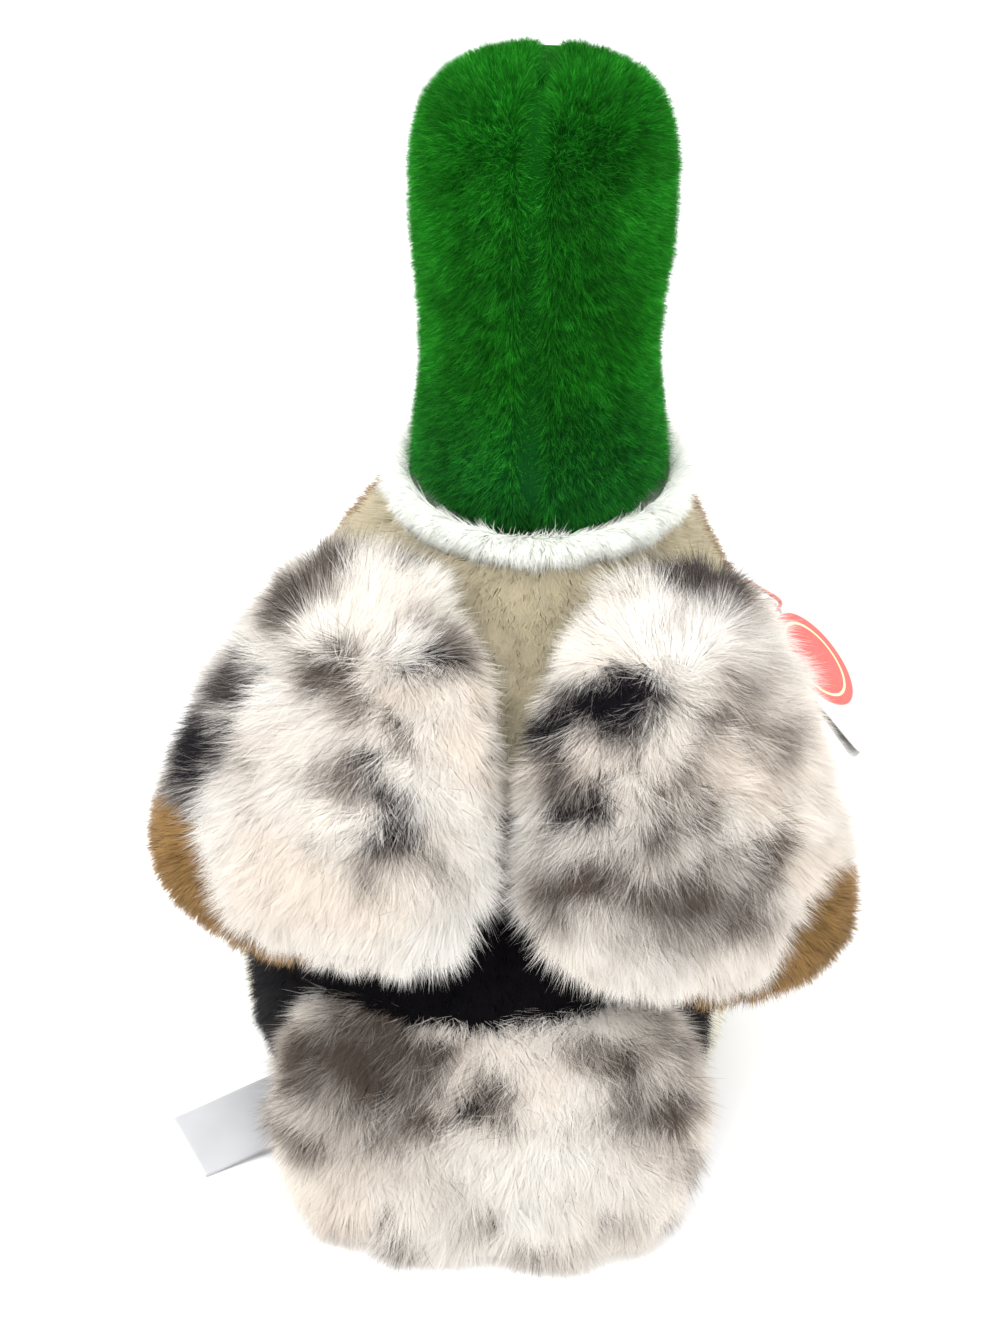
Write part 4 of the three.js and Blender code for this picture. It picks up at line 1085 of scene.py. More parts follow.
def bill_half(side):
    """Rings along one half of the bill. A ring is half an ellipse, closed by the flat seam face
    between the halves, and the bill's middle line rises as the square of its reach."""
    t = np.linspace(0, 1, 49)
    out, wide, thick = along(BILL_SHARES, 1 - (1 - t) ** BILL_EASE).T[:, :, None]
    reach = out * (BILL_LENGTH + BILL_ROOT) - BILL_ROOT
    angle = np.linspace(0, np.pi, 41)
    flat = np.linspace(-1, 1, 17)[1:-1]
    across = np.append(np.cos(angle), flat)
    up = np.append(np.sin(angle) ** BILL_PLUMPNESS, 0 * flat)
    share = 1 - BILL_LOWER_SHARE if side > 0 else BILL_LOWER_SHARE
    half_width = BILL_HALF_WIDTH * (1 if side > 0 else BILL_LOWER_WIDTH_SHARE)
    x = wide * half_width * across
    y = -(HEAD_FRONT * BILL_FACE_SHARE + reach) + 0 * x
    z = BILL_HEIGHT_SHARE * HEAD_HEIGHT + BILL_RISE * (reach / BILL_LENGTH) ** 2
    z = z + side * (HALF_SEAM + up * share * thick * BILL_THICKNESS)
    rings = np.stack([x, y, z], -1) + NECK_PIVOT
    return rings[:, ::-1] if side > 0 else rings


class DRAKE_OT_bill(bpy.types.Operator):
    """Felt bill in two padded halves, and the glossy eyes beside it."""

    bl_idname = "drake.bill"
    bl_label = "Bill and Eyes"

    def execute(self, context):
        """Each half is a closed loft. The eyes and their washers keep the frame's form."""
        look = context.scene.drake_colours
        yellow = felt("yellow_felt", tuple(look.yellow))
        for side, name in ((1, "upper"), (-1, "lower")):
            points, faces = capped(bill_half(side))
            half = new_piece(f"bill_{name}_felt", points, faces)
            settle(half, yellow, f"bill_{name}", "head", "yellow_felt")
        black = solid("black_plastic", (0.004, 0.0035, 0.0035), 0.12, speck=0.05)
        natural = solid("natural_plastic", (0.75, 0.74, 0.68), 0.4)
        for name in ("left", "right"):
            dress(f"eye_{name}", black)
            dress(f"eye_washer_{name}", natural)
        return {"FINISHED"}


def dress(node, material):
    """Puts a material on a solid that keeps its form."""
    for slot in bpy.data.objects[node].material_slots:
        slot.material = material


def foot_rim(angle):
    """The foot's outline, as shares across and along it: a circle narrowed towards the heel, its
    reach dented between the three toes by a cosine wave."""
    from_toe = np.abs(angle - np.pi / 2)
    wave = (1 - np.cos(from_toe / FOOT_TOES_TURN * 3 * np.pi)) / 2
    reach = 1 - FOOT_WEB_SHARE * np.where(from_toe < FOOT_TOES_TURN, wave, 1)
    narrow = 1 - (1 - FOOT_HEEL_SHARE) * ((1 - np.sin(angle)) / 2) ** 1.5
    return np.cos(angle) * narrow * reach, np.sin(angle) * reach


def foot_half(side, face):
    """Rings of a foot's upper or sole, from its middle out over the padded face, down the rim and
    back in under it: the height is 1 less the cube of the share of the way to the rim, rooted. The
    upper has a soft channel up from each dent between the toes. The heel is drawn forward as far
    as the belly needs, at rest and with the toes bent up."""
    angle = np.linspace(0, TURN, 144, endpoint=False)
    u, v = foot_rim(angle)
    out = np.sin(np.linspace(0.02, 1, 40) * np.pi / 2)
    back = np.cos(np.linspace(0, 0.97, 14) * np.pi / 2)
    share = np.append(out, back)[:, None]
    top = FOOT_EDGE + (FOOT_THICKNESS / 2 - FOOT_EDGE) * np.sqrt(np.clip(1 - share**3, 0, 1))
    from_toe = np.abs(angle - np.pi / 2)
    aside = (from_toe - FOOT_TOES_TURN / 3) * share * (FOOT_LENGTH / 2)
    channel = np.exp(-((aside / FOOT_CHANNEL_HALF) ** 2)) * np.clip((share - 0.3) / 0.35, 0, 1)
    padded = top - FOOT_CHANNEL * channel * (1 if face > 0 else FOOT_SOLE_SHARE)
    padding = np.where(np.arange(len(share))[:, None] < len(out), padded, HALF_SEAM)
    local = np.stack([
        u * share * FOOT_HALF_WIDTH, (v * share + 1) * FOOT_LENGTH / 2,
        face * np.maximum(padding, HALF_SEAM),
    ], -1)
    turn = np.pi - side * FOOT_TOE_OUT
    across = np.array([np.cos(turn), np.sin(turn), 0])
    ahead = np.array([-np.sin(turn), np.cos(turn), 0])
    heel = np.array([
        FOOT_APART_SHARE * BODY_HALF_WIDTH * side + 0.6 * BODY_SAG,
        -FOOT_HEEL_REACH_SHARE * BODY_FRONT,
        FOOT_THICKNESS / 2 + 0.0005,
    ])

    def placed(p):
        return heel + p[..., :1] * across + p[..., 1:2] * ahead + p[..., 2:] * np.array([0, 0, 1.0])

    def bent(p):
        y, z = p[..., 1] - FOOT_HINGE_IN, p[..., 2]
        cos, sin = np.cos(FOOT_FLEX), np.sin(FOOT_FLEX)
        return np.stack([p[..., 0], FOOT_HINGE_IN + y * cos - z * sin, y * sin + z * cos], -1)

    free = np.zeros(local.shape[:2], bool)
    moved = local.copy()
    for forward in np.arange(0, FOOT_TRY_END, FOOT_TRY_STEP):
        tried = local + np.array([0, forward, 0])
        reach = np.minimum(body_reach(placed(tried)), body_reach(placed(bent(tried))))
        clear = reach > FOOT_CLEAR
        now = clear & ~free
        moved[now] = tried[now]
        free |= clear
    rings = placed(moved)
    return rings if face > 0 else rings[:, ::-1]


class DRAKE_OT_feet(bpy.types.Operator):
    """Two webbed felt feet, each an upper and a sole."""

    bl_idname = "drake.feet"
    bl_label = "Feet"

    def execute(self, context):
        """Each half is a closed loft, and rides on its own foot."""
        orange = felt("orange_felt", tuple(context.scene.drake_colours.orange))
        for side, name in ((1, "left"), (-1, "right")):
            for face, half in ((1, "upper"), (-1, "sole")):
                points, faces = capped(foot_half(side, face))
                pad = new_piece(f"foot_{half}_felt_{name}", points, faces)
                settle(pad, orange, f"foot_{half}_{name}", f"foot_{name}", "orange_felt")
        return {"FINISHED"}


def card_edge(angle, inset=0.0):
    """How far the card's rounded edge lies from the hole in each direction, found by halving: a
    point is inside while its distance past the corner's middle is under the corner's radius."""
    way = np.stack([np.cos(angle), np.sin(angle)], -1)
    near, far = np.zeros_like(angle), np.full_like(angle, 0.1)
    middle = np.array([0, TAG_HOLE_IN - TAG_LENGTH / 2])
    room = np.array([TAG_WIDTH, TAG_LENGTH]) / 2 - TAG_CORNER
    for _ in range(40):
        mean = (near + far) / 2
        past = np.maximum(np.abs(way * mean[:, None] - middle) - room, 0)
        inside = np.linalg.norm(past, axis=-1) < TAG_CORNER - inset
        near, far = np.where(inside, mean, near), np.where(inside, far, mean)
    return near


def card_leaf(side):
    """One leaf of the folded card, from the hole out to the rounded edge. The leaves part a little
    towards the foot, as the square of the distance from the fold. Gives the grids of its two
    faces, and the places across and up the card."""
    angle = np.linspace(0, TURN, 240, endpoint=False)
    share = np.linspace(0, 1, 28)[:, None]
    radius = TAG_HOLE + (card_edge(angle) - TAG_HOLE) * share
    across, up = radius * np.cos(angle), radius * np.sin(angle)
    apart = ((TAG_HOLE_IN - up) / TAG_LENGTH) ** 2 * (1 + 0.35 * across / TAG_WIDTH)
    apart = LEAF_GAP + LEAF_PARTING * apart
    through, aside, upward = TAG_AXES
    middle = TAG_HOLE_AT + across[..., None] * aside + up[..., None] * upward
    faces = [middle + side * depth[..., None] * through for depth in (apart + LEAF, apart)]
    return faces, across, up


def card_material():
    """Coated white card with fine fibre in its gloss, and on its front a plain red round with a
    pale ring inside it: distances from the round's middle across and up the card. The fibre also
    makes the card a little darker in its hollows, a faint painted shade."""
    nodes = Nodes("white_card")
    middle_across, middle_up, radius = TAG_ROUND
    off_across = nodes.sum(nodes.attribute("across"), middle_across, "SUBTRACT")
    off_up = nodes.sum(nodes.attribute("up"), middle_up, "SUBTRACT")
    squares = nodes.sum(nodes.product(off_across, off_across), nodes.product(off_up, off_up))
    far = nodes.sum(squares, 0.5, "POWER")
    inside = nodes.span(far, radius + 0.00015, radius - 0.00015)
    disc = nodes.product(inside, nodes.attribute("front"))
    from_ring = nodes.sum(nodes.sum(far, radius * TAG_RING_SHARE, "SUBTRACT"), 0.0, "ABSOLUTE")
    ring = nodes.span(from_ring, 0.0006, 0.00035)
    place = nodes.place()
    fibre = nodes.noise(place, 1500.0, 3.0)
    fine, uneven = nodes.span(fibre, 0.3, 0.7), nodes.span(nodes.noise(place, 500.0), 0.3, 0.7)
    # Faint painted shade: the card is a little darker in the fibre's hollows, where the bump is
    # lowest.
    card = nodes.mix(fine, (0.44, 0.432, 0.42, 1), (0.465, 0.457, 0.445, 1))
    red = nodes.mix(uneven, (0.5, 0.04, 0.03, 1), (0.56, 0.055, 0.04, 1))
    colour = nodes.mix(disc, card, nodes.mix(ring, red, (0.7, 0.55, 0.3, 1)))
    return nodes.surfaced(nodes.add("BsdfPrincipled", {
        "Base Color": colour, "Roughness": nodes.span(fibre, 0.2, 0.8, 0.36, 0.46),
        "Normal": nodes.bump(fibre, 0.08, 0.0002),
    }))


class DRAKE_OT_tag(bpy.types.Operator):
    """Folded card tag on a red thread loop."""

    bl_idname = "drake.tag"
    bl_label = "Card Tag"

    def execute(self, context):
        """Two card leaves, and a round thread down through their hole and back up to the seam."""
        points, faces, numbers = [], [], []
        for side in (-1, 1):
            (outer, inner), across, up = card_leaf(side)
            grid, quads = slab(outer, inner, wrap=True)
            quads = quads[:, ::-1] if side > 0 else quads
            faces.append(quads + sum(len(p) for p in points))
            points.append(grid)
            front = np.repeat([1.0 if side < 0 else 0.0, 0.0], across.size)
            places = [np.tile(place.ravel(), 2) for place in (across, up)]
            numbers.append(np.stack([*places, front], -1))
        across, up, front = np.concatenate(numbers).T
        marks = {"across": across, "up": up, "front": front}
        leaves = np.concatenate(points), [np.concatenate(faces)]
        card = new_piece("card_tag", *leaves, attributes=marks)
        card.data.polygons.foreach_set("use_smooth", np.zeros(len(card.data.polygons), bool))
        settle(card, card_material(), "hang_tag", "tag", "white_card")

        through, _, up = TAG_AXES
        knots = np.array([
            LOOP_ROOT_AT + 0.0025 * through,
            TAG_HOLE_AT + 0.0027 * through + 0.0026 * up,
            TAG_HOLE_AT + 0.0011 * through + 0.0001 * up,
            TAG_HOLE_AT - 0.0011 * through + 0.0001 * up,
            TAG_HOLE_AT - 0.0027 * through + 0.0026 * up,
            LOOP_ROOT_AT - 0.0025 * through,
        ])
        line = along(knots, np.linspace(0, 1, 61))
        points, faces = capped(tube(line, LOOP_DIAMETER / 2, 12))
        thread = new_piece("tag_thread", points, faces)
        red = twisted("red_thread", (0.5, 0.03, 0.025))
        settle(thread, red, "tag_loop", "tag", "red_thread")
        length = float(np.linalg.norm(np.diff(line, axis=0), axis=1).sum())
        tuple(map(float, line[0]))
        [tuple(map(float, p)) for p in line]
        return {"FINISHED"}


def tube(line, radius, sides):
    """Rings round a line: each ring lies across the line's direction, and starts from the same
    side, taken from a fixed direction made square to the line."""
    ahead = unit(np.gradient(line, axis=0))
    first = unit(TAG_AXES[1] - ahead * (ahead @ TAG_AXES[1])[:, None])
    second = np.cross(ahead, first)
    turn = np.linspace(0, TURN, sides, endpoint=False)[:, None]
    return line[:, None] + radius * (first[:, None] * np.cos(turn) + second[:, None] * np.sin(turn))


def twisted(name, colour):
    """Twisted thread: a wave across it, bent by noise, in colour and bump, the colour darker in the
    grooves between the plies as a painted shade.
    """
    nodes = Nodes(name)
    ply = nodes.wave(nodes.place(), 900.0, 2.0, "DIAGONAL")
    # Painted shade: the colour is darkest in the grooves between the plies, where the bump is
    # lowest.
    tinted = nodes.shaded((*colour, 1.0), nodes.span(ply, 0.0, 1.0, 0.6, 1.15))
    return nodes.surfaced(nodes.add("BsdfPrincipled", {
        "Base Color": tinted, "Roughness": 0.6, "Sheen Weight": 0.3,
        "Normal": nodes.bump(ply, 0.6, 0.0002),
    }))


class DRAKE_OT_label(bpy.types.Operator):
    """Bare satin label, folded double and sewn in beside the tail."""

    bl_idname = "drake.label"
    bl_label = "Sewn Label"

    def execute(self, context):
        """The ribbon runs out from the seam, turns in a small half circle and runs back under
        itself, with a faint wave along it and a bow across it."""
        fold = LABEL_LENGTH - LABEL_BEND
        straight = np.linspace(LABEL_ROOT, fold, 60)
        turn = np.linspace(np.pi / 2, -np.pi / 2, 13)[1:-1]
        flat = np.ones(60)
        out_run = np.concatenate([0 * flat, np.cos(turn), 0 * flat])
        out_rise = np.concatenate([flat, np.sin(turn), -flat])
        run = np.concatenate([straight, fold + LABEL_BEND * np.cos(turn), straight[::-1]])
        rise = LABEL_BEND * out_rise
        across = np.linspace(-0.5, 0.5, 25) * LABEL_WIDTH

        def placed(depth):
            x = (run + out_run * depth)[:, None] + 0 * across
            wave = LABEL_WAVE * np.sin(run / LABEL_LENGTH * LABEL_WAVE_TURN)[:, None]
            sway = wave - LABEL_BOW * (across / LABEL_WIDTH * 2) ** 2
            fade = np.clip(run / LABEL_FADE, 0, 1)[:, None]
            z = (rise + out_rise * depth)[:, None] + sway * fade
            places = np.stack([x, np.broadcast_to(across, x.shape), z], -1)
            points = LABEL_AT + places @ LABEL_AXES
            floor = FLOOR_GAP + (depth + RIBBON / 2) * out_rise[:, None]
            points[..., 2] = np.maximum(points[..., 2], floor)
            return points

        points, quads = slab(placed(RIBBON / 2), placed(-RIBBON / 2))
        label = new_piece("satin_label", points, [quads])
        ribbon = satin("satin_ribbon", (0.39, 0.395, 0.41))
        settle(label, ribbon, "sewn_label", "label", "satin_ribbon")
        length = float(np.hypot(np.diff(run), np.diff(rise)).sum())
        return {"FINISHED"}


def satin(name, colour):
    """Satin: fine threads along the ribbon in its bump and gloss, with a soft sheen, and a faint
    painted shade between the threads in its colour.
    """
    nodes = Nodes(name)
    place = nodes.place()
    turned = nodes.add("Mapping", {"Vector": place, "Rotation": (0.0, 0.0, -0.63)}).outputs[0]
    threads, slow = nodes.wave(turned, 1400.0, 1.0, "Y"), nodes.noise(place, 90.0, 2.0)
    # Painted shade: the colour is a little darker between the threads, where the bump is lowest.
    painted_thread_shade, clouded = nodes.span(threads, 0, 1, 0.95, 1.02), nodes.span(slow, 0.3, 0.7, 0.96, 1.02)
    tinted = nodes.shaded((*colour, 1.0), nodes.product(painted_thread_shade, clouded))
    return nodes.surfaced(nodes.add("BsdfPrincipled", {
        "Base Color": tinted, "Roughness": nodes.span(slow, 0.3, 0.7, 0.3, 0.42),
        "Sheen Weight": 0.3, "Normal": nodes.bump(threads, 0.15, 0.0001),
    }))


class DRAKE_OT_insides(bpy.types.Operator):
    """Loose fibre filling in every padded part, and the cloth bag of pellets in the seat."""

    bl_idname = "drake.insides"
    bl_label = "Filling and Pellet Bag"

    def execute(self, context):
        """The insides keep the frame's forms, in their own materials."""
        fibre = felt("fibre_filling", (0.85, 0.85, 0.83), scale=350.0)
        for padded in ("body", "head", "wing", "tail"):
            for end in ("_left", "_right") if padded == "wing" else ("",):
                dress(f"{padded}_filling{end}", fibre)
        dress("pellet_bag", felt("pellet_cloth", (0.72, 0.69, 0.6), scale=1800.0))
        return {"FINISHED"}


# Wings


def full_pad(share):
    """How full a pad is at a share of the way to its rim: full in the middle, steep at the rim."""
    return (1 - np.clip(share, 0, 1) ** 2.4) ** 0.55


def face_height(share):
    """How far a wing's face stands off its middle surface at a share of the way to the rim."""
    return SEAM_LIP + (WING_THICKNESS / 2 - SEAM_LIP) * full_pad(share)


def at_rim(angle):
    """Places across and down the wing on its rim, at an angle round it."""
    return rounded(np.cos(angle), WING_SQUARENESS), rounded(np.sin(angle), WING_SQUARENESS)


def lower_corner(u, v):
    """1 in the wing's lower outer corner, fading to 0."""
    return np.clip((u + v - LINING_FROM_SHARE) / LINING_FADE_SHARE, 0, 1)


def wing_net(side, lie):
    """The nine places that the wing's middle runs through, each off the body along its normal."""
    upper, lower, slip, slant = lie
    net = np.array(WING_NET, float)
    down = np.linspace(0, 1, 3)[:, None]
    slip = slip + slant * np.linspace(1, -1, 3)
    angle = side * np.radians(net[..., 1] + upper * (1 - down) + lower * down)
    height = (net[..., 0] - slip * down) * BODY_HEIGHT
    step = 0.004
    climb = step * BODY_HEIGHT
    upward = body_point(height + climb, angle) - body_point(height - climb, angle)
    onward = body_point(height, angle + step) - body_point(height, angle - step)
    off = (net[..., 2] * WING_THICKNESS)[..., None]
    return body_point(height, angle) + unit(np.cross(upward, onward)) * off


def weights(t):
    """Shares of three places along a quadratic through them, at t from -1 to 1."""
    return np.stack([t * (t - 1) / 2, 1 - t * t, t * (t + 1) / 2], -1)


def slopes(t):
    """Slopes of those shares."""
    return np.stack([t - 0.5, -2 * t, t + 0.5], -1)


def wing_surface(side, net, share_at, height_at):
    """A face of a padded wing: round its rim by u, and from its middle to the rim and past it by v.
    share_at(v, angle) is the share of the way to the rim, and height_at(share, across, down, v) the
    distance from the middle surface, which is a quadratic through the net both ways."""

    def place(u, v):
        angle = -side * u * TURN
        share = share_at(np.clip(v, 0, 1), angle)
        across, down = (edge * share for edge in at_rim(angle))

        def on_net(by_down, by_across):
            return np.einsum("...i,...j,ijk->...k", by_down, by_across, net)

        point = on_net(weights(down), weights(across))
        along_across = on_net(weights(down), slopes(across))
        along_down = on_net(slopes(down), weights(across))
        out = unit(np.cross(along_across, along_down)) * side
        return point + out * height_at(share, across, down, np.clip(v, 0, 1))[..., None]

    return place


def seam_share(angle):
    """The share of the way to the rim where the cover meets the lining: the rim itself, and on the
    cover's face where its height comes down to the raised seam of the lower corner."""
    shares = np.linspace(0.3, 1, 141)[:, None]
    flat = angle.reshape(1, -1)
    across, down = (edge * shares for edge in at_rim(flat))
    off = (flat - LOBE_MIDDLE + np.pi) % TURN - np.pi
    rise = LINING_RISE * np.exp(-((off / LOBE_HALF) ** 4)) * lower_corner(across, down)
    over = face_height(shares) >= rise
    first_under = np.argmax(~over, axis=0)
    share = np.where(over.all(0), 1.0, shares[np.maximum(first_under - 1, 0), 0])
    return share.reshape(angle.shape)


SEAM_ANGLES = np.linspace(-TURN, TURN, 1441)
SEAM_SHARES = seam_share(SEAM_ANGLES)


def cover_share(v, angle):
    """The share of the way to the rim at a share v of the way to the cover's seam."""
    reach = np.sin(np.clip(0.02 + 0.98 * v, 0, 1) * np.pi / 2)
    return reach * np.interp(angle, SEAM_ANGLES, SEAM_SHARES)


def cover_place(side, net):
    """The wing's cover, from its middle out to the seam."""
    return wing_surface(side, net, cover_share, lambda share, across, down, v: face_height(share))


def lining_place(side, net):
    """The wing's lining, from the cover's seam over the rim and in to its middle below. Where the
    seam is the rim itself, the lining starts a little inside it, tucked under the cover."""

    def share_at(v, angle):
        seam = np.minimum(np.interp(angle, SEAM_ANGLES, SEAM_SHARES), SEAM_TUCK_SHARE)
        above = seam + (1 - seam) * np.clip(v / LINING_TURN_IN, 0, 1)
        past = np.clip((v - LINING_TURN_IN) / (1 - LINING_TURN_IN), 0, 0.985)
        return np.where(v < LINING_TURN_IN, above, np.cos(past * np.pi / 2))

    def height_at(share, across, down, v):
        over = face_height(share)
        bulge = 1 + LINING_BULGE_SHARE * lower_corner(across, down)
        under = -(SEAM_LIP + (WING_THICKNESS / 2 - SEAM_LIP) * full_pad(share) * bulge)
        return np.where(v < LINING_TURN_IN, over, under)

    return wing_surface(side, net, share_at, height_at)


def wing_nap(point, along_v):
    """Pile brushed down and a little out from the spine, but up over the shoulder at the top."""
    way = np.zeros_like(point)
    way[:, 0] = np.clip(point[:, 0] / 0.05, -1, 1) * NAP_OUT
    way[:, 1] = 0.25
    way[:, 2] = -1.0
    crest = np.clip((point[:, 2:] / BODY_HEIGHT - 0.93) / 0.05, 0, 1)
    return unit(way) * (1 - crest) + along_v * crest


def trimmed(side):
    """The cover's strands are shorter at the wing's rim, most of all along the spine and the lower
    edge, but longer at the top and at the lower inner corner."""

    def scale(u, v, point):
        across, down = at_rim(-side * u * TURN)
        corner = np.clip(down - across - 1.35, 0, 0.4)
        inner = np.clip(-across - 0.6, 0, 0.4)
        top = np.clip(-down - 0.7, 0, 0.3)
        low = np.clip(down - 0.6, 0, 0.4)
        rim = np.clip((v - 0.5) / 0.4, 0, 1)
        trim = corner * CORNER_LONGER - inner * SPINE_SHORTER - low * LOW_SHORTER - RIM_SHORTER
        return 1 + rim * (trim + top * TOP_LONGER)

    return scale


def corner_only(side):
    """The lining's strands are full at the lower outer corner and well in under the wing, and
    short along the spine and the rest of the rim, where the cover's pile falls over them."""

    def scale(u, v, point):
        across, down = at_rim(-side * u * TURN)
        corner = np.clip((across + down - 0.75) / 0.35, 0, 1)
        inside = np.clip((v - 0.55) / 0.2, 0.3, 1) * np.clip((across + 0.9) / 0.6, 0.3, 1)
        return np.maximum(corner, inside)

    return scale


class DRAKE_OT_wings(bpy.types.Operator):
    """Two padded wings: a marbled long-pile cover and a camel lining each."""

    bl_idname = "drake.wings"
    bl_label = "Wings"

    def execute(self, context):
        """The cover's pile is long and marbled, and the lining's is short and shows at the lower
        corner."""
        look, yarn = context.scene.drake_colours, context.scene.drake_pile
        marbled = marbled_pile("marbled_pile", look)
        camel = plain_pile("camel_lining", tuple(look.camel))
        short = dict(SHORT_PILE, stand=0.0045, length=0.0075)

        def lifted(points, inward):
            return clear_of_body(points, LINING_GAP - inward)

        for side, name in ((1, "left"), (-1, "right")):
            net = wing_net(side, WING_LIE[name])
            cover = Cloth(f"wing_cover_plush_{name}", 41 + side)
            place = cover_place(side, net)
            marks = wing_marks(side, name)
            cover.skin(place, 56, 144, LONG_SKIN_DEPTH, wrap=True, marks=marks)
            trim = trimmed(side)
            cover.pile(place, yarn.wing_density, LONG_PILE, wing_nap, scale=trim, marks=marks)
            body = f"wing_{name}"
            cover.piece(body, f"wing_cover_{name}", marbled, "marbled_pile", fill=PAD_FILL)
            lining = Cloth(f"wing_lining_plush_{name}", 51 + side)
            under = lining_place(side, net)
            lining.skin(under, 50, 96, short["stand"], wrap=True, shape=lifted)
            lining.pile(
                under, yarn.lining_density, short, along_nap, keep=lambda p: body_reach(p) > 1.05,
                scale=corner_only(side),
            )
            lining.piece(body, f"wing_lining_{name}", camel, "camel_pile")
        return {"FINISHED"}


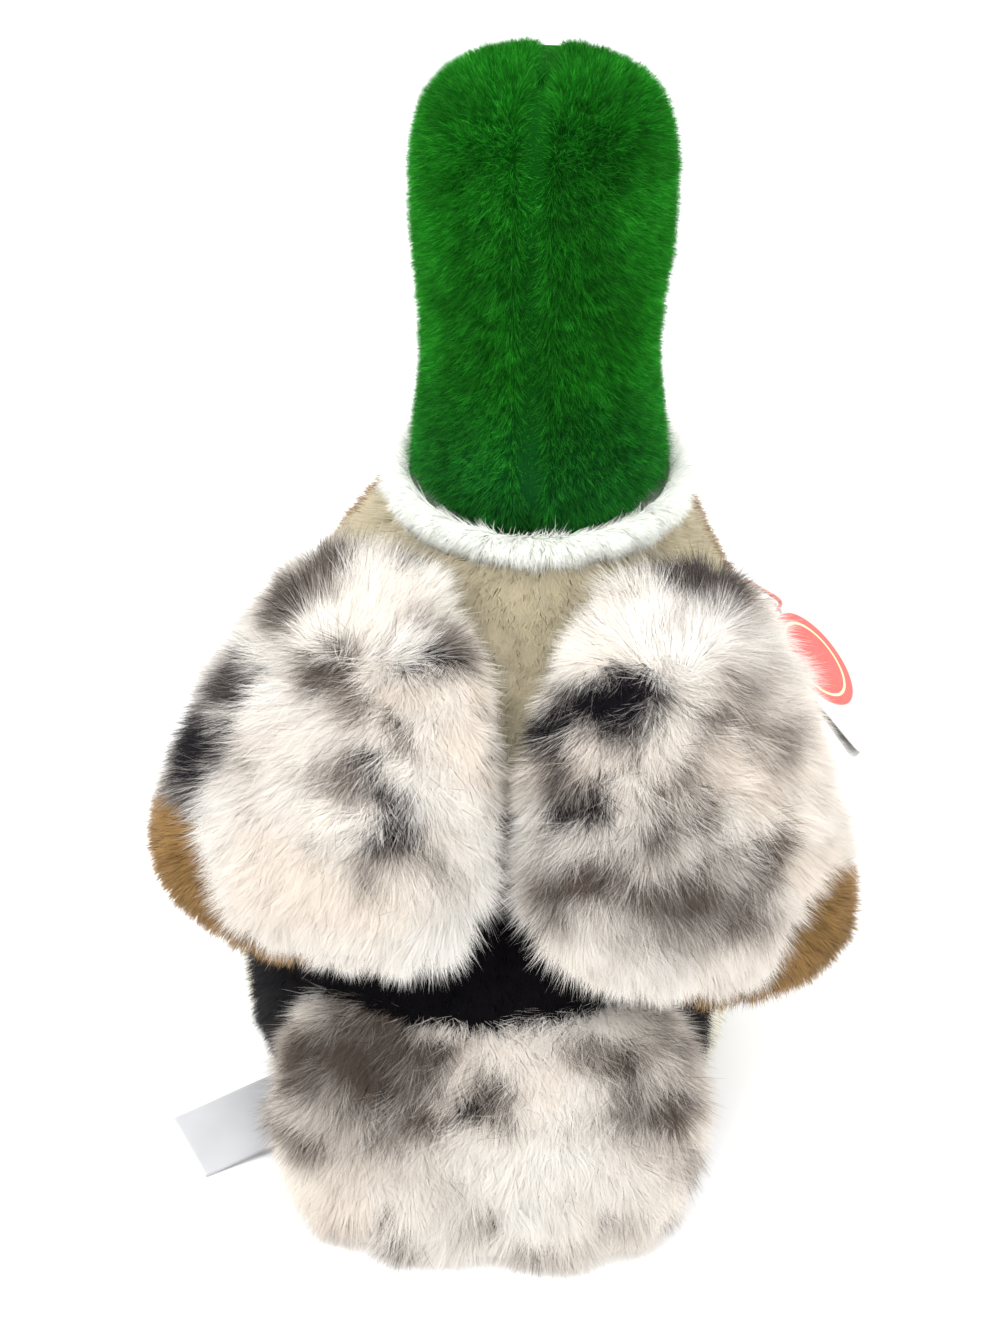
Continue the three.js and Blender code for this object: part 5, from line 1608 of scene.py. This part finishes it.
# Marks of the marbled pile: place across and down, half length, half width and turn in degrees, as
# shares of the panel's half sizes, then how smoky and how sooty
WING_MARKS = {
    "left": [
        [0.24, -0.73, 0.27, 0.27, -139, 0.9, 0.25],
        [0.2, -0.69, 0.11, 0.06, -136, 0.9, 0.5],
        [0.22, -0.53, 0.05, 0.06, -93, 0.6, 0],
        [0.12, -0.44, 0.03, 0.03, -99, 0.6, 0],
        [0.42, -0.22, 0.12, 0.21, 73, 0.9, 0.5],
        [0.5, 0.04, 0.15, 0.25, 74, 0.95, 0.7],
        [0.62, 0.25, 0.23, 0.16, -147, 0.95, 0.9],
        [0.32, -0.38, 0.04, 0.05, 77, 0.5, 0],
        [-0.17, -0.32, 0.18, 0.08, -173, 0.8, 0.1],
        [-0.26, -0.41, 0.04, 0.05, 102, 0.8, 0.1],
        [-0.32, -0.27, 0.11, 0.04, 164, 0.85, 0.2],
        [0.07, -0.34, 0.05, 0.04, 71, 0.55, 0],
        [-0.34, -0.19, 0.07, 0.03, 176, 0.65, 0],
        [-0.44, -0.43, 0.07, 0.03, -115, 0.55, 0],
        [-0.44, -0.23, 0.06, 0.03, 105, 0.4, 0],
        [-0.7, -0.65, 0.19, 0.05, -160, 0.6, 0],
        [-0.82, -0.61, 0.1, 0.07, 149, 0.75, 0.1],
        [-0.64, -0.41, 0.07, 0.05, -172, 0.9, 0.7],
        [-0.8, -0.5, 0.16, 0.05, -177, 0.9, 0.75],
        [-0.93, -0.47, 0.07, 0.03, 173, 0.7, 0.4],
        [-0.55, -0.1, 0.07, 0.04, 90, 0.85, 0.05],
        [-0.28, 0.11, 0.14, 0.07, -174, 0.7, 0],
        [-0.11, 0.13, 0.1, 0.04, -173, 0.5, 0],
        [-0.34, 0.03, 0.06, 0.04, -117, 0.6, 0],
        [-0.43, 0.01, 0.08, 0.04, 103, 0.95, 0.8],
        [-0.49, 0.15, 0.08, 0.04, 102, 0.95, 0.7],
        [-0.51, 0.3, 0.08, 0.06, 95, 1, 0.95],
        [-0.58, 0.39, 0.07, 0.04, 173, 0.95, 0.4],
        [-0.62, 0.48, 0.18, 0.04, 145, 0.7, 0],
        [-0.77, 0.6, 0.07, 0.03, 136, 0.5, 0],
        [-0.47, 0.46, 0.08, 0.07, -177, 0.5, 0],
        [-0.41, 0.55, 0.07, 0.04, 86, 0.55, 0],
        [-0.68, 0.35, 0.12, 0.03, -167, 0.4, 0],
        [-0.24, 0.46, 0.05, 0.03, 180, 0.5, 0],
        [0.59, 0.48, 0.12, 0.09, 71, 0.75, 0.3],
        [0.48, 0.6, 0.06, 0.07, 118, 0.45, 0],
        [0.45, 0.26, 0.14, 0.05, -146, 0.4, 0],
        [-0.42, -0.97, 0.2, 0.03, 174, 0.85, 0.3],
        [-0.23, -0.26, 0.36, 0.22, 178, 0.26, 0],
        [-0.28, 0.11, 0.28, 0.17, -173, 0.24, 0],
        [-0.64, 0.53, 0.25, 0.2, 150, 0.22, 0],
        [0.4, 0.05, 0.35, 0.41, 69, 0.28, 0],
    ],
    "right": [
        [0.1, -0.98, 0.43, 0.28, 3, 1, 0.45],
        [0.44, -0.88, 0.13, 0.28, 44, 0.9, 0.15],
        [-0.32, -0.98, 0.31, 0.03, -4, 0.5, 0],
        [0.39, -0.79, 0.05, 0.18, 72, 0.9, 0.1],
        [-0.61, -0.77, 0.08, 0.03, 6, 0.4, 0],
        [-0.3, -0.68, 0.09, 0.03, 14, 0.42, 0],
        [-0.07, -0.71, 0.07, 0.03, 0, 0.33, 0],
        [-0.37, -0.4, 0.06, 0.03, 34, 0.45, 0],
        [-0.66, -0.3, 0.25, 0.13, -6, 1, 1.1],
        [-0.86, -0.16, 0.15, 0.1, -31, 1, 1.05],
        [-0.48, -0.31, 0.06, 0.06, 67, 0.95, 0.8],
        [-0.41, -0.24, 0.05, 0.03, 37, 0.6, 0.1],
        [-0.65, -0.14, 0.18, 0.05, -7, 0.5, 0.15],
        [-0.79, -0.01, 0.12, 0.05, -17, 0.8, 0.35],
        [-0.58, 0.06, 0.06, 0.03, 7, 0.85, 0.55],
        [-0.45, 0.01, 0.04, 0.04, -7, 0.85, 0.7],
        [-0.47, -0.1, 0.04, 0.06, -4, 0.5, 0.2],
        [-0.72, 0.19, 0.14, 0.07, -32, 0.95, 0.65],
        [-0.86, 0.15, 0.12, 0.09, 85, 0.6, 0.1],
        [-0.78, 0.31, 0.11, 0.05, -48, 0.55, 0.05],
        [-0.11, -0.27, 0.1, 0.06, 8, 0.85, 0.12],
        [0.16, -0.38, 0.09, 0.12, 58, 0.55, 0],
        [0.09, -0.24, 0.22, 0.08, 17, 0.65, 0],
        [0.34, -0.17, 0.1, 0.15, 50, 0.6, 0],
        [0.1, -0.09, 0.12, 0.04, 16, 0.7, 0.05],
        [0.35, -0.49, 0.08, 0.1, 40, 0.4, 0],
        [-0.32, 0.04, 0.14, 0.04, 111, 0.7, 0.05],
        [-0.2, -0.15, 0.09, 0.03, -8, 0.55, 0],
        [-0.17, 0.15, 0.08, 0.05, 58, 0.78, 0.08],
        [-0.08, 0.21, 0.08, 0.03, 32, 0.5, 0],
        [-0.34, 0.25, 0.07, 0.04, 96, 0.65, 0],
        [-0.64, 0.46, 0.25, 0.1, -14, 0.95, 0.15],
        [-0.77, 0.61, 0.12, 0.11, 7, 0.55, 0],
        [-0.5, 0.51, 0.1, 0.06, -9, 0.9, 0.1],
        [-0.83, 0.46, 0.1, 0.05, -57, 0.6, 0],
        [-0.33, 0.47, 0.09, 0.08, 50, 0.7, 0],
        [-0.19, 0.52, 0.21, 0.11, 7, 0.78, 0],
        [0.16, 0.35, 0.11, 0.15, 82, 0.88, 0.12],
        [0.02, 0.56, 0.19, 0.1, -12, 0.72, 0],
        [-0.19, 0.7, 0.14, 0.12, -3, 0.6, 0],
        [-0.01, 0.29, 0.12, 0.04, -9, 0.6, 0],
        [-0.41, 0.32, 0.03, 0.03, 52, 0.75, 0.3],
        [-0.57, 0.71, 0.16, 0.06, -2, 0.33, 0],
        [0.19, 0.62, 0.13, 0.05, -14, 0.5, 0],
        [0.36, 0.08, 0.1, 0.04, 21, 0.3, 0],
        [-0.38, 0.49, 0.61, 0.29, -6, 0.34, 0],
        [-0.75, 0.14, 0.26, 0.31, -7, 0.32, 0],
        [0.14, -0.23, 0.39, 0.37, 12, 0.3, 0],
        [-0.24, 0.09, 0.18, 0.23, -3, 0.3, 0],
    ],
}
TAIL_MARKS = [
    [0.64, -0.41, 0.36, 0.17, -176, 0.97, 0.12],
    [0.54, -0.62, 0.24, 0.09, -176, 0.88, 0],
    [0.47, -0.31, 0.13, 0.08, 176, 1, 0.4],
    [0.84, -0.27, 0.13, 0.1, -177, 0.82, 0],
    [0.9, -0.03, 0.09, 0.11, 76, 0.72, 0],
    [0.57, -0.14, 0.08, 0.06, 90, 0.88, 0.25],
    [0.26, -0.36, 0.11, 0.09, 98, 0.88, 0.15],
    [0.26, -0.2, 0.13, 0.06, -177, 0.75, 0],
    [0.39, -0.14, 0.05, 0.04, 125, 0.7, 0.05],
    [0.16, -0.2, 0.07, 0.04, 94, 0.82, 0.15],
    [0.67, -0.22, 0.09, 0.06, -151, 0.8, 0],
    [0.77, 0.01, 0.08, 0.05, 76, 0.45, 0],
    [-0.02, -0.24, 0.08, 0.09, 130, 0.92, 0.2],
    [0.03, -0.2, 0.04, 0.04, 94, 1, 0.75],
    [-0.09, -0.17, 0.04, 0.03, 94, 0.95, 0.6],
    [0.01, -0.35, 0.08, 0.03, -176, 0.45, 0],
    [0.12, -0.47, 0.06, 0.05, -178, 0.4, 0],
    [-0.49, -0.52, 0.18, 0.08, 173, 0.6, 0],
    [-0.6, -0.44, 0.14, 0.07, 174, 0.78, 0.05],
    [-0.85, -0.52, 0.17, 0.08, 169, 0.68, 0],
    [-0.76, -0.34, 0.19, 0.05, -177, 0.6, 0],
    [-0.68, -0.24, 0.1, 0.07, -177, 0.78, 0.08],
    [-0.84, -0.21, 0.11, 0.08, 156, 0.78, 0],
    [-0.96, -0.01, 0.1, 0.07, 122, 0.55, 0],
    [-0.41, -0.18, 0.06, 0.03, 165, 0.5, 0],
    [-0.21, -0.42, 0.04, 0.05, -176, 0.3, 0],
    [-0.2, -0.31, 0.04, 0.03, -176, 0.35, 0],
    [-0.62, 0.01, 0.03, 0.03, -174, 0.45, 0],
    [0.19, 0.11, 0.1, 0.03, 87, 0.45, 0],
    [-0.05, 0.26, 0.15, 0.06, 94, 0.5, 0],
    [0.08, 0.27, 0.1, 0.05, 89, 0.35, 0],
    [0.6, 0.37, 0.12, 0.06, 60, 0.85, 0.35],
    [0.51, 0.49, 0.06, 0.11, -175, 0.6, 0.1],
    [-0.68, 0.26, 0.1, 0.04, 118, 0.85, 0.35],
    [-0.52, 0.43, 0.24, 0.06, -176, 0.5, 0.05],
    [-0.91, 0.28, 0.04, 0.13, -176, 0.5, 0],
    [0.88, 0.41, 0.11, 0.1, -173, 0.5, 0],
    [0.61, -0.28, 0.47, 0.38, -176, 0.42, 0],
    [-0.77, -0.33, 0.29, 0.33, -179, 0.38, 0],
    [0.02, -0.28, 0.18, 0.18, -177, 0.26, 0],
]


# Sizes of the noise that bends marks, how far streaks are drawn out, how fast a mark fades, and
# how much of its smoke and coal the streaks break up
MARK_BROAD, MARK_FINE = 0.02, 0.008
MARK_DRAWN = 0.3
MARK_FADE = 0.7
SMOKE_STREAKS, COAL_STREAKS = 0.55, 0.4


def marked(across, down, point, marks, salt):
    """How smoky and how sooty the pile is: the strongest of the marks at each root. A mark fades
    from its middle with the fourth power of the distance in its own half length and half width.
    Noise bends the places first, so that no edge is even, and narrow noise drawn out down the nap
    breaks the mark into streaks."""
    bend = 0.05 * drift(point, MARK_BROAD, salt) + 0.04 * drift(point, MARK_FINE, salt + 1)
    bow = 0.06 * drift(point, MARK_BROAD, salt + 2) + 0.05 * drift(point, MARK_FINE, salt + 3)
    thin = np.stack([across, down * MARK_DRAWN, 0 * across], -1)
    streak = 0.6 * drift(thin, 0.05, salt + 4) + 0.4 * drift(thin, 0.02, salt + 5)
    smoke, coal = np.zeros(len(point)), np.zeros(len(point))
    for middle_across, middle_down, half_long, half_wide, turn, smoky, sooty in marks:
        x, y = across + bend - middle_across, down + bow - middle_down
        cos, sin = np.cos(np.radians(turn)), np.sin(np.radians(turn))
        far = ((x * cos + y * sin) / half_long) ** 2 + ((y * cos - x * sin) / half_wide) ** 2
        fade = np.exp(-MARK_FADE * far**2)
        smoke = np.maximum(smoke, smoky * fade)
        coal = np.maximum(coal, sooty * fade)
    return {
        "smoke": smoke * (1 + SMOKE_STREAKS * streak), "coal": coal * (1 + COAL_STREAKS * streak),
    }


def wing_marks(side, name):
    """The marks of one wing, at a root's turn round the rim and share of the way to it."""

    def marks(u, v, point):
        angle = -side * u * TURN
        across, down = (edge * cover_share(v, angle) for edge in at_rim(angle))
        return marked(across, down, point, WING_MARKS[name], 61)

    return marks


# Tail


TAIL_BACK = np.array([0.0, np.cos(TAIL_TURN), np.sin(TAIL_TURN)])
TAIL_UP = np.array([0.0, -np.sin(TAIL_TURN), np.cos(TAIL_TURN)])


def tail_stretch(from_angle, to_angle):
    """A stretch of the tail between two angles round it, along its whole length."""

    def place(u, v):
        angle = from_angle + (to_angle - from_angle) * u
        length, half_width, thick = np.moveaxis(along(TAIL_SHARES, np.clip(v, 0, 1)), -1, 0)
        x = half_width * TAIL_HALF_WIDTH * rounded(np.sin(angle), TAIL_SQUARENESS)
        y = thick * TAIL_THICKNESS / 2 * rounded(np.cos(angle), TAIL_SQUARENESS)
        y = y - TAIL_THICKNESS / 2
        points = y[..., None] * TAIL_BACK - (length * TAIL_LENGTH)[..., None] * TAIL_UP
        points[..., 0] = x
        return points + TAIL_ROOT

    return place


def parting(point):
    """How near the fringe's tips are to a parting, from 1 on one to 0 between them, which way
    leads off it, and how far towards the tail's tip they are. The parting counts only there."""
    across = (point[:, 0] - TAIL_ROOT[0]) / TAIL_HALF_WIDTH
    off = across[:, None] - FRINGE_PARTS
    nearest = off[np.arange(len(off)), np.argmin(np.abs(off), axis=1)]
    low = np.clip(-(point - TAIL_ROOT) @ TAIL_UP / TAIL_LENGTH * 2.2 - 1.2, 0, 1)
    return np.clip(1 - np.abs(nearest) / PARTING_HALF, 0, 1) * low, np.sign(nearest), low


def tail_nap(point, along_v):
    """Pile brushed towards the tail's tip, out at its sides, and off the fringe's partings."""
    near, away, _ = parting(point)
    way = np.tile(-TAIL_UP, (len(point), 1))
    across = (point[:, 0] - TAIL_ROOT[0]) / TAIL_HALF_WIDTH
    way[:, 0] += across * NAP_OUT + near * away * NAP_OFF_PARTING
    return way


def fringed(u, v, point):
    """The fringe: longer strands at the tail's tip, but short ones at its partings and corners."""
    near, _, low = parting(point)
    across = np.abs(point[:, 0] - TAIL_ROOT[0]) / TAIL_HALF_WIDTH
    corner = np.clip((across - 0.45) / 0.45, 0, 1) * low
    edge = np.clip((np.abs(2 * u - 1) - 0.55) / 0.35, 0, 1) * (1 - low)
    longer = 1 + FRINGE_LONGER * low - EDGE_SHORTER * edge
    return longer * (1 - PARTING_SHORTER * near) * (1 - CORNER_SHORTER * corner)


class DRAKE_OT_tail(bpy.types.Operator):
    """Plump tail of the marbled pile, a cover above and an underside below."""

    bl_idname = "drake.tail"
    bl_label = "Tail"

    def execute(self, context):
        """Both halves are grown on the same loft, which is drawn to a point past the tip."""
        look, yarn = context.scene.drake_colours, context.scene.drake_pile
        marbled = marbled_pile("marbled_tail", look)

        def lifted(points, inward):
            return clear_of_body(points, -TAIL_SUNK - inward)

        def keep(point):
            return (body_reach(point) > 1.0) & (point[:, 2] > 0.001)

        for half, seed, start, stop, thin in (
            ("cover", 61, -np.pi / 2, np.pi / 2, 1.0),
            ("underside", 62, np.pi / 2, np.pi * 1.5, 0.5),
        ):
            cloth = Cloth(f"tail_{half}_plush", seed)
            place, marks = tail_stretch(start, stop), tail_marks(start, stop)
            cloth.skin(place, 60, 110, LONG_SKIN_DEPTH, shape=lifted, marks=marks)
            grown = yarn.tail_density * thin
            cloth.pile(place, grown, LONG_PILE, tail_nap, keep, scale=fringed, marks=marks)
            cloth.piece("tail", f"tail_{half}", marbled, "marbled_pile", fill=PAD_FILL)
        return {"FINISHED"}


def tail_marks(start, stop):
    """The marks of one half of the tail, at a root's turn round it and share of its length. Near
    the tip the underside is smoky all over, a painted shade under the tail's tip."""

    def marks(u, v, point):
        across = rounded(np.sin(start + (stop - start) * u), TAIL_SQUARENESS)
        shown = marked(across, 2 * v - 1, point, TAIL_MARKS, 71)
        # Painted shade: smoke darkens the underside near the tip, where shade falls under the tail.
        if start > 0:
            shown["smoke"] = np.maximum(shown["smoke"], 0.8 * np.clip((v - 0.5) / 0.2, 0, 1))
        return shown

    return marks


# Stage


PHOTO_SIZE = (998, 1331)
CAMERA_AZIMUTH = 185.4
CAMERA_ELEVATION = 35.0
CAMERA_DISTANCE = 1.3
CAMERA_AIM = (0.0082, 0.0029, 0.1369)
# The photo's scale: pixels to the metre at the camera's aim
PIXELS_PER_METRE = 1 / 0.0003
FLOOR_HALF = 3.0
ROOM_LIGHT = 1.8
# Soft lamps' names, energies, sizes and places, and the point that they shine at
SOFTBOXES = [
    ("top_softbox", 14.0, 0.9, (0.1, 0.45, 1.15)),
    ("left_softbox", 4.0, 0.7, (1.0, 0.5, 0.6)),
    ("right_softbox", 4.0, 0.7, (-1.0, 0.5, 0.6)),
]
SOFTBOX_AIM = (0, 0, 0.12)


class DRAKE_OT_stage(bpy.types.Operator):
    """White floor, soft light all round and the camera."""

    bl_idname = "drake.stage"
    bl_label = "Stage"

    def execute(self, context):
        """The camera looks at its aim from the photo's side and height, with a lens that gives the
        photo's scale there."""
        scene = context.scene
        corners = np.array([[-1, -1, 0], [1, -1, 0], [1, 1, 0], [-1, 1, 0]]) * FLOOR_HALF
        floor = new_piece("floor", corners, [np.array([[0, 1, 2, 3]])])
        white = solid("white_floor", (0.86, 0.86, 0.86), 0.9, speck=0.004, scale=3.0)
        floor.data.materials.append(white)
        world = bpy.data.worlds.new("white_room")
        world.use_nodes = True
        background = world.node_tree.nodes["Background"].inputs
        background[0].default_value = (1.0, 1.0, 1.0, 1.0)
        background[1].default_value = ROOM_LIGHT
        scene.world = world
        for name, energy, size, place in SOFTBOXES:
            lamp = bpy.data.lights.new(name, "AREA")
            lamp.energy, lamp.size = energy, size
            stand = bpy.data.objects.new(name, lamp)
            stand.location = place
            way = Vector(SOFTBOX_AIM) - Vector(place)
            stand.rotation_euler = way.to_track_quat("-Z", "Y").to_euler()
            scene.collection.objects.link(stand)
        azimuth, elevation = np.radians([CAMERA_AZIMUTH, CAMERA_ELEVATION])
        level = np.cos(elevation)
        way = Vector((np.sin(azimuth) * level, -np.cos(azimuth) * level, np.sin(elevation)))
        data = bpy.data.cameras.new("camera")
        data.lens = data.sensor_width * PIXELS_PER_METRE * CAMERA_DISTANCE / max(PHOTO_SIZE)
        camera = bpy.data.objects.new("camera", data)
        camera.location = Vector(CAMERA_AIM) + way * CAMERA_DISTANCE
        camera.rotation_euler = (-way).to_track_quat("-Z", "Y").to_euler()
        scene.collection.objects.link(camera)
        scene.camera = camera
        scene.view_settings.view_transform = "Standard"
        return {"FINISHED"}


# Settings and panel


def colour(name, description, value):
    """A colour property."""
    return FloatVectorProperty(
        name=name, description=description, subtype="COLOR", size=3, min=0, max=1, default=value,
    )


def density(name, value):
    """A pile's density property."""
    return FloatProperty(name=name, description="Strands to a square metre", default=value, min=0)


def size(name, description, value):
    """A length property."""
    return FloatProperty(name=name, description=description, default=value, min=0, unit="LENGTH")


class DrakeColours(bpy.types.PropertyGroup):
    """Colours of the drake's fabrics."""

    green: colour("Green", "Head and neck pile", (0.003, 0.15, 0.006))
    # Painted highlight: the lime of the head's palest tips stands for light shining through them.
    lime: colour("Lime", "Palest tips of the head's pile", (0.06, 0.5, 0.04))
    white: colour("White", "Neck ring pile", (0.93, 0.945, 0.905))
    taupe: colour("Taupe", "Back pile", (0.7, 0.635, 0.47))
    black: colour("Black", "Rump pile", (0.004, 0.003, 0.005))
    camel: colour("Camel", "Breast and wing lining pile", (0.335, 0.197, 0.071))
    cream: colour("Cream", "Belly pile", (0.9, 0.87, 0.76))
    yellow: colour("Yellow", "Bill felt", (0.36, 0.2, 0.022))
    orange: colour("Orange", "Feet felt", (0.38, 0.085, 0.01))
    marble_cream: colour("Marble Cream", "Ground of the marbled pile", (0.9, 0.88, 0.845))
    marble_smoke: colour("Marble Smoke", "Grey-brown clouds of marbled pile", (0.18, 0.14, 0.113))
    marble_coal: colour("Marble Charcoal", "Darkest clouds of marbled pile", (0.015, 0.012, 0.017))


class DrakePile(bpy.types.PropertyGroup):
    """How densely the pile grows."""

    head_density: density("Head Density", 8.6e6)
    body_density: density("Body Density", 5e6)
    ring_density: density("Ring Density", 1.6e7)
    wing_density: density("Wing Density", 1.35e7)
    lining_density: density("Lining Density", 4.5e6)
    tail_density: density("Tail Density", 1.25e7)


class DrakeSizes(bpy.types.PropertyGroup):
    """Sizes of the drake's trim."""

    seam_groove: size("Seam Groove", "Depth of the head's middle seam", 0.0025)
    eye_radius: size("Eye Radius", "Radius of the safety eyes", 0.0055)


OPERATORS = [
    DRAKE_OT_stage, DRAKE_OT_tag, DRAKE_OT_label, DRAKE_OT_insides, DRAKE_OT_bill, DRAKE_OT_feet,
    DRAKE_OT_body, DRAKE_OT_neck_ring, DRAKE_OT_head, DRAKE_OT_wings, DRAKE_OT_tail,
]


class DRAKE_PT_panel(bpy.types.Panel):
    """Sidebar panel that lists the drake's pieces."""

    bl_idname = "DRAKE_PT_panel"
    bl_label = "Plush Drake"
    bl_space_type = "VIEW_3D"
    bl_region_type = "UI"
    bl_category = "Plush Drake"

    def draw(self, context):
        for operator in OPERATORS:
            self.layout.operator(operator.bl_idname)


CLASSES = [DrakeColours, DrakePile, DrakeSizes, *OPERATORS, DRAKE_PT_panel]


def register():
    """Registers the classes and the scene's three groups of settings."""
    for kind in CLASSES:
        bpy.utils.register_class(kind)
    bpy.types.Scene.drake_colours = PointerProperty(type=DrakeColours)
    bpy.types.Scene.drake_pile = PointerProperty(type=DrakePile)
    bpy.types.Scene.drake_sizes = PointerProperty(type=DrakeSizes)


def unregister():
    """Takes the settings and the classes away again."""
    del bpy.types.Scene.drake_colours, bpy.types.Scene.drake_pile, bpy.types.Scene.drake_sizes
    for kind in reversed(CLASSES):
        bpy.utils.unregister_class(kind)


def main():
    """Builds every piece through its operator."""
    register()
    for operator in OPERATORS:
        group, name = operator.bl_idname.split(".")
        getattr(getattr(bpy.ops, group), name)()


if __name__ == "__main__":
    main()
